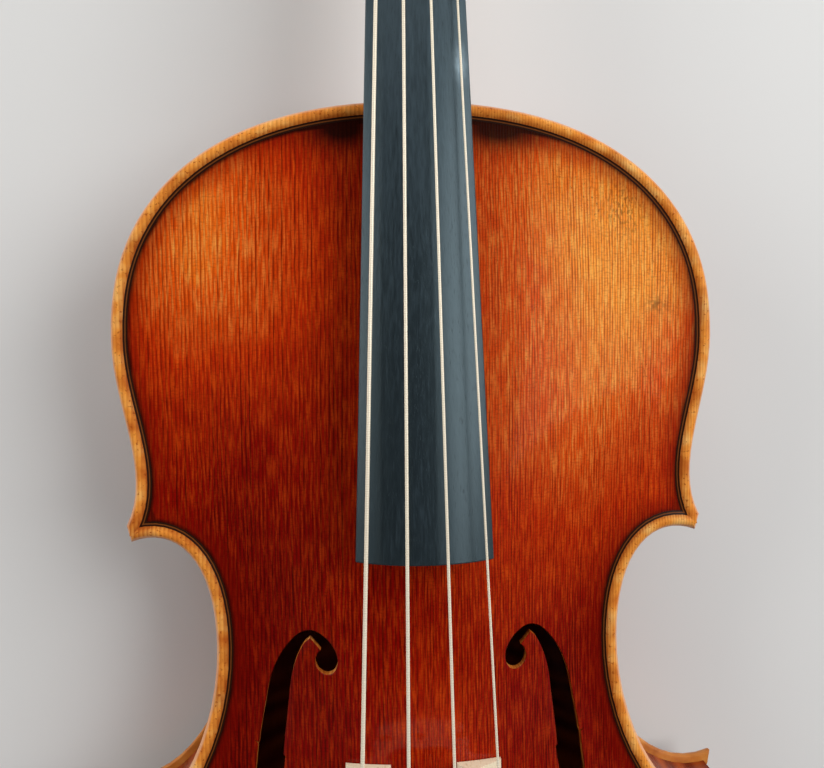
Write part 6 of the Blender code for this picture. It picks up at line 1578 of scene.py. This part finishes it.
BRIDGE_SPACING = 0.0398
NUT_SPACING = 0.0180
BRIDGE_BEND = 0.0012
WINDING_TURNS = 3
WINDING_GAP = 0.00045
WINDING_SEAT = 0.00036
POINTS_A_TURN = 48
PIVOT_Y = 0.01487
HOOK_DEPTH = 0.0022
HOOKED_STRING = 0.0040
SILK_TAIL = -0.262
SILK_NUT = 0.138
WINDING_PITCH = 0.00011
WINDING_METAL = 0.18

string_metal, string_shader, place = finish("wound_string", 0.38, metallic=WINDING_METAL)
along = place.axis(1) - body_at.translation.y
winding = (along / WINDING_PITCH).math("SINE") * 0.5 + 0.5
silk = along.rise(SILK_NUT - 0.0003, SILK_NUT) + (1 - along.rise(SILK_TAIL, SILK_TAIL + 0.0003))
silk_thread = place.noise(9000, 9000, 9000).between(paint(30, 46, 92), paint(52, 74, 132))
wire(
    string_shader,
    Base_Color=silk.between(winding.between(paint(236, 222, 196), paint(248, 236, 212)), silk_thread),
    Metallic=WINDING_METAL - silk * WINDING_METAL,
    Roughness=0.38 + silk * 0.5,
)


def string_route(number, name):
    """The middle line of one string, from its hitch to the end of its winding."""
    radius = STRING_RADII[name]
    nut_x, bridge_x = string_place(number, NUT_SPACING), string_place(number, BRIDGE_SPACING)
    tail_x = string_place(number, TAIL_SPACING)
    bridge_z = BRIDGE_TOP_HEIGHT - crown_drop(bridge_x, BRIDGE_TOP_RADIUS) + GLUE_GAP + radius
    on_bridge = Vector((bridge_x, BRIDGE_Y, bridge_z))
    nut_z = board_top(NECK_LENGTH) - crown_drop(nut_x, BOARD_RADIUS) + NUT_RISE + GLUE_GAP + radius
    nut_front = Vector((nut_x, NECK_LENGTH, nut_z))
    nut_back = Vector((nut_x, NECK_LENGTH + NUT_LENGTH * 0.4, nut_z))
    hole = on_tailpiece(number)
    if name == "a":
        start = hole @ Vector((0, PIVOT_Y, HOOKED_STRING))
        hitch = [start - (on_bridge - start).normalized() * HOOK_DEPTH]
    else:
        start = Vector((tail_x, FRET_Y, tail_top(FRET_Y) - crown_drop(tail_x, TAILPIECE_RADIUS) + FRET_RISE))
        start.z += GLUE_GAP + radius
        hitch = [hole @ Vector((0, 0, -0.9 * TAILPIECE_WALL)), hole @ Vector((0, 0, -0.0008)),
                 hole @ Vector((0, KEYHOLE_RADIUS + 0.0003, 0.0012 + radius)), start]
    over = [on_bridge + (start - on_bridge).normalized() * BRIDGE_BEND,
            on_bridge + (nut_front - on_bridge).normalized() * BRIDGE_BEND]
    peg_y, peg_z, side = peg_places[name]
    pitch = 2 * radius + WINDING_GAP
    start_x = side * (pegbox_half_width(peg_y) - CHEEK_WALL - GLUE_GAP - radius - WINDING_TURNS * pitch)
    reach = shank_radius(side * start_x) + WINDING_SEAT + radius
    away = math.hypot(peg_y - nut_back.y, peg_z - nut_back.z)
    touch = math.atan2(peg_z - nut_back.z, peg_y - nut_back.y) + math.asin(reach / away) + math.pi / 2
    coil = []
    for step in range(WINDING_TURNS * POINTS_A_TURN + 1):
        angle = touch - math.tau * step / POINTS_A_TURN
        coil.append(Vector((start_x + side * pitch * step / POINTS_A_TURN,
                            peg_y + reach * math.cos(angle), peg_z + reach * math.sin(angle))))
    end = coil[-1] + (coil[-1] - coil[-2]).normalized() * 2 * radius
    return hitch + over + [nut_front, nut_back] + coil + [end]


for number, name in enumerate(STRINGS):
    route = string_route(number, name)
    string = tube_mesh(f"string_wound_{name}", route, [STRING_RADII[name]] * len(route), string_metal, body_at)
    fitted(string, "instrument", "string_metal", f"string_{name}")

# Chin rest
# An ebony cup beside the tailpiece, on a foot with a cork face. A plated bracket over the edge, two threaded barrels
# and a cork-faced foot below clamp it across the ribs.

CHINREST_LENGTH = 0.080
CHINREST_DEPTH = 0.062
CHINREST_HEIGHT = 0.0085
CHINREST_WALL = 0.0036
CHINREST_SHIFT = -0.0190
CORK_THICKNESS = 0.0020
CLAMP_STAND = 0.0046
BARREL_RADIUS = 0.0032
BARREL_LENGTH = 0.0250
STUD_RADIUS = 0.0015
PAD_HALF = 0.019
PAD_NEAR, PAD_FAR = 0.0018, 0.0095
CUP_OVER_PAD = 0.0060
CUP_BEHIND_PAD = 0.0030
KEY_RADIUS = 0.0008
inner_pos, outer_pos = (Vector(joint_of[f"clamp_barrel_{word}"]["pos_m"]) for word in ("inner", "outer"))
clamp_turn = math.atan2(inner_pos.y - outer_pos.y, inner_pos.x - outer_pos.x)
between_barrels = (inner_pos + outer_pos) / 2
clamp_place = Matrix.Translation((between_barrels.x, between_barrels.y, body_at.translation.z))
clamp_place = clamp_place @ Matrix.Rotation(clamp_turn, 4, "Z") @ Matrix.Translation((0, CLAMP_STAND, 0))
pad_top = BELLY_FACE + EDGE_THICKNESS + GLUE_GAP + CORK_THICKNESS
dish_low = pad_top + CUP_OVER_PAD
dish_high = dish_low + CHINREST_HEIGHT
dish_half = CHINREST_DEPTH / 2
dish_profile = [(0.0, dish_low + CHINREST_WALL)] + rounded_profile([
    (dish_half * 0.15, dish_low + CHINREST_WALL + 0.00005), (dish_half * 0.40, dish_low + CHINREST_WALL + 0.0004),
    (dish_half * 0.72, dish_high - 0.0022), (dish_half * 0.90, dish_high - 0.0001),
    (dish_half * 0.96, dish_high - 0.0002), (dish_half, dish_high - 0.0015), (dish_half * 0.98, dish_low + 0.0040),
    (dish_half * 0.93, dish_low + 0.0015), (dish_half * 0.82, dish_low),
], 5) + [(0.0, dish_low)]
dish_place = Matrix.Translation((CHINREST_SHIFT, PAD_NEAR + CUP_BEHIND_PAD + dish_half, 0)) @ Matrix.Diagonal(
    (CHINREST_LENGTH / CHINREST_DEPTH, 1, 1, 1))
chinrest = shaped("chinrest_carved", turned_bm(dish_profile, 96), ebony, dish_place)
foot_low = [(-PAD_HALF, PAD_NEAR), (PAD_HALF, PAD_NEAR), (PAD_HALF, PAD_FAR), (-PAD_HALF, PAD_FAR)]
foot_high = [(-PAD_HALF, PAD_NEAR), (PAD_HALF * 0.6, PAD_NEAR), (PAD_HALF * 0.6, dish_half * 0.8),
             (-PAD_HALF, dish_half * 0.8)]
foot = shaped("chinrest_foot", loft_bm([
    [(x, y, pad_top + GLUE_GAP) for x, y in foot_low],
    [(x, y, pad_top + 0.0035) for x, y in foot_low],
    [(x, y, dish_low + 0.0030) for x, y in foot_high],
]), ebony)
carve(chinrest, "UNION", foot)
refinished(fused(chinrest, 0.0007, 6), ebony, clamp_place)
fitted(chinrest, "instrument", "ebony", "chinrest")

cork, cork_shader, place = finish("cork_sheet", 0.9)
cork_grains = place.node("ShaderNodeTexVoronoi", {}, {"Vector": place, "Scale": 900.0}, 1)
cork_grey = cork_grains.axis(0)
wire(
    cork_shader,
    Base_Color=(cork_grey * 0.8 + place.noise(300, 300, 300) * 0.3).between(paint(120, 78, 42), paint(196, 148, 94)),
    Normal=raised(place, cork_grey, 0.0002),
)
refined("chinrest_cork_sheet", "chinrest_cork", cork, 0.0003, "instrument", "cork")
refined("clamp_cork_sheet", "clamp_cork", cork, 0.0003, "clamp_foot", "cork")
refined("clamp_bracket_plated", "clamp_bracket", plated, 0.0004, "instrument", "clamp_metal")
refined("clamp_foot_plated", "clamp_foot", plated, 0.0004, "clamp_foot", "clamp_metal")
for word, centre in (("inner", inner_pos), ("outer", outer_pos)):
    half, bore = BARREL_LENGTH / 2, STUD_RADIUS + GLUE_GAP
    upper_end = [(bore, half - 0.0002), (bore + 0.0003, half), (BARREL_RADIUS - 0.0006, half),
                 (BARREL_RADIUS - 0.0002, half - 0.0002), (BARREL_RADIUS, half - 0.0007)]
    lower_end = [(radius, -height) for radius, height in reversed(upper_end)]
    barrel_bm = turned_bm(upper_end + [(BARREL_RADIUS, 0.0)] + lower_end + upper_end[:1], 40)
    barrel = shaped(f"clamp_barrel_turned_{word}", barrel_bm, plated, Matrix.Translation(centre))
    key_bm = rod_bm(KEY_RADIUS, 4 * BARREL_RADIUS, 20)
    key_place = Matrix.Translation(centre) @ Matrix.Rotation(clamp_turn, 4, "Z") @ Matrix.Rotation(math.pi / 2, 4, "X")
    carve(barrel, "DIFFERENCE", shaped(f"key_hole_{word}", key_bm, plated, key_place))
    refinished(barrel, plated, crease=35)
    fitted(barrel, f"clamp_barrel_{word}", "clamp_metal", f"clamp_barrel_{word}")
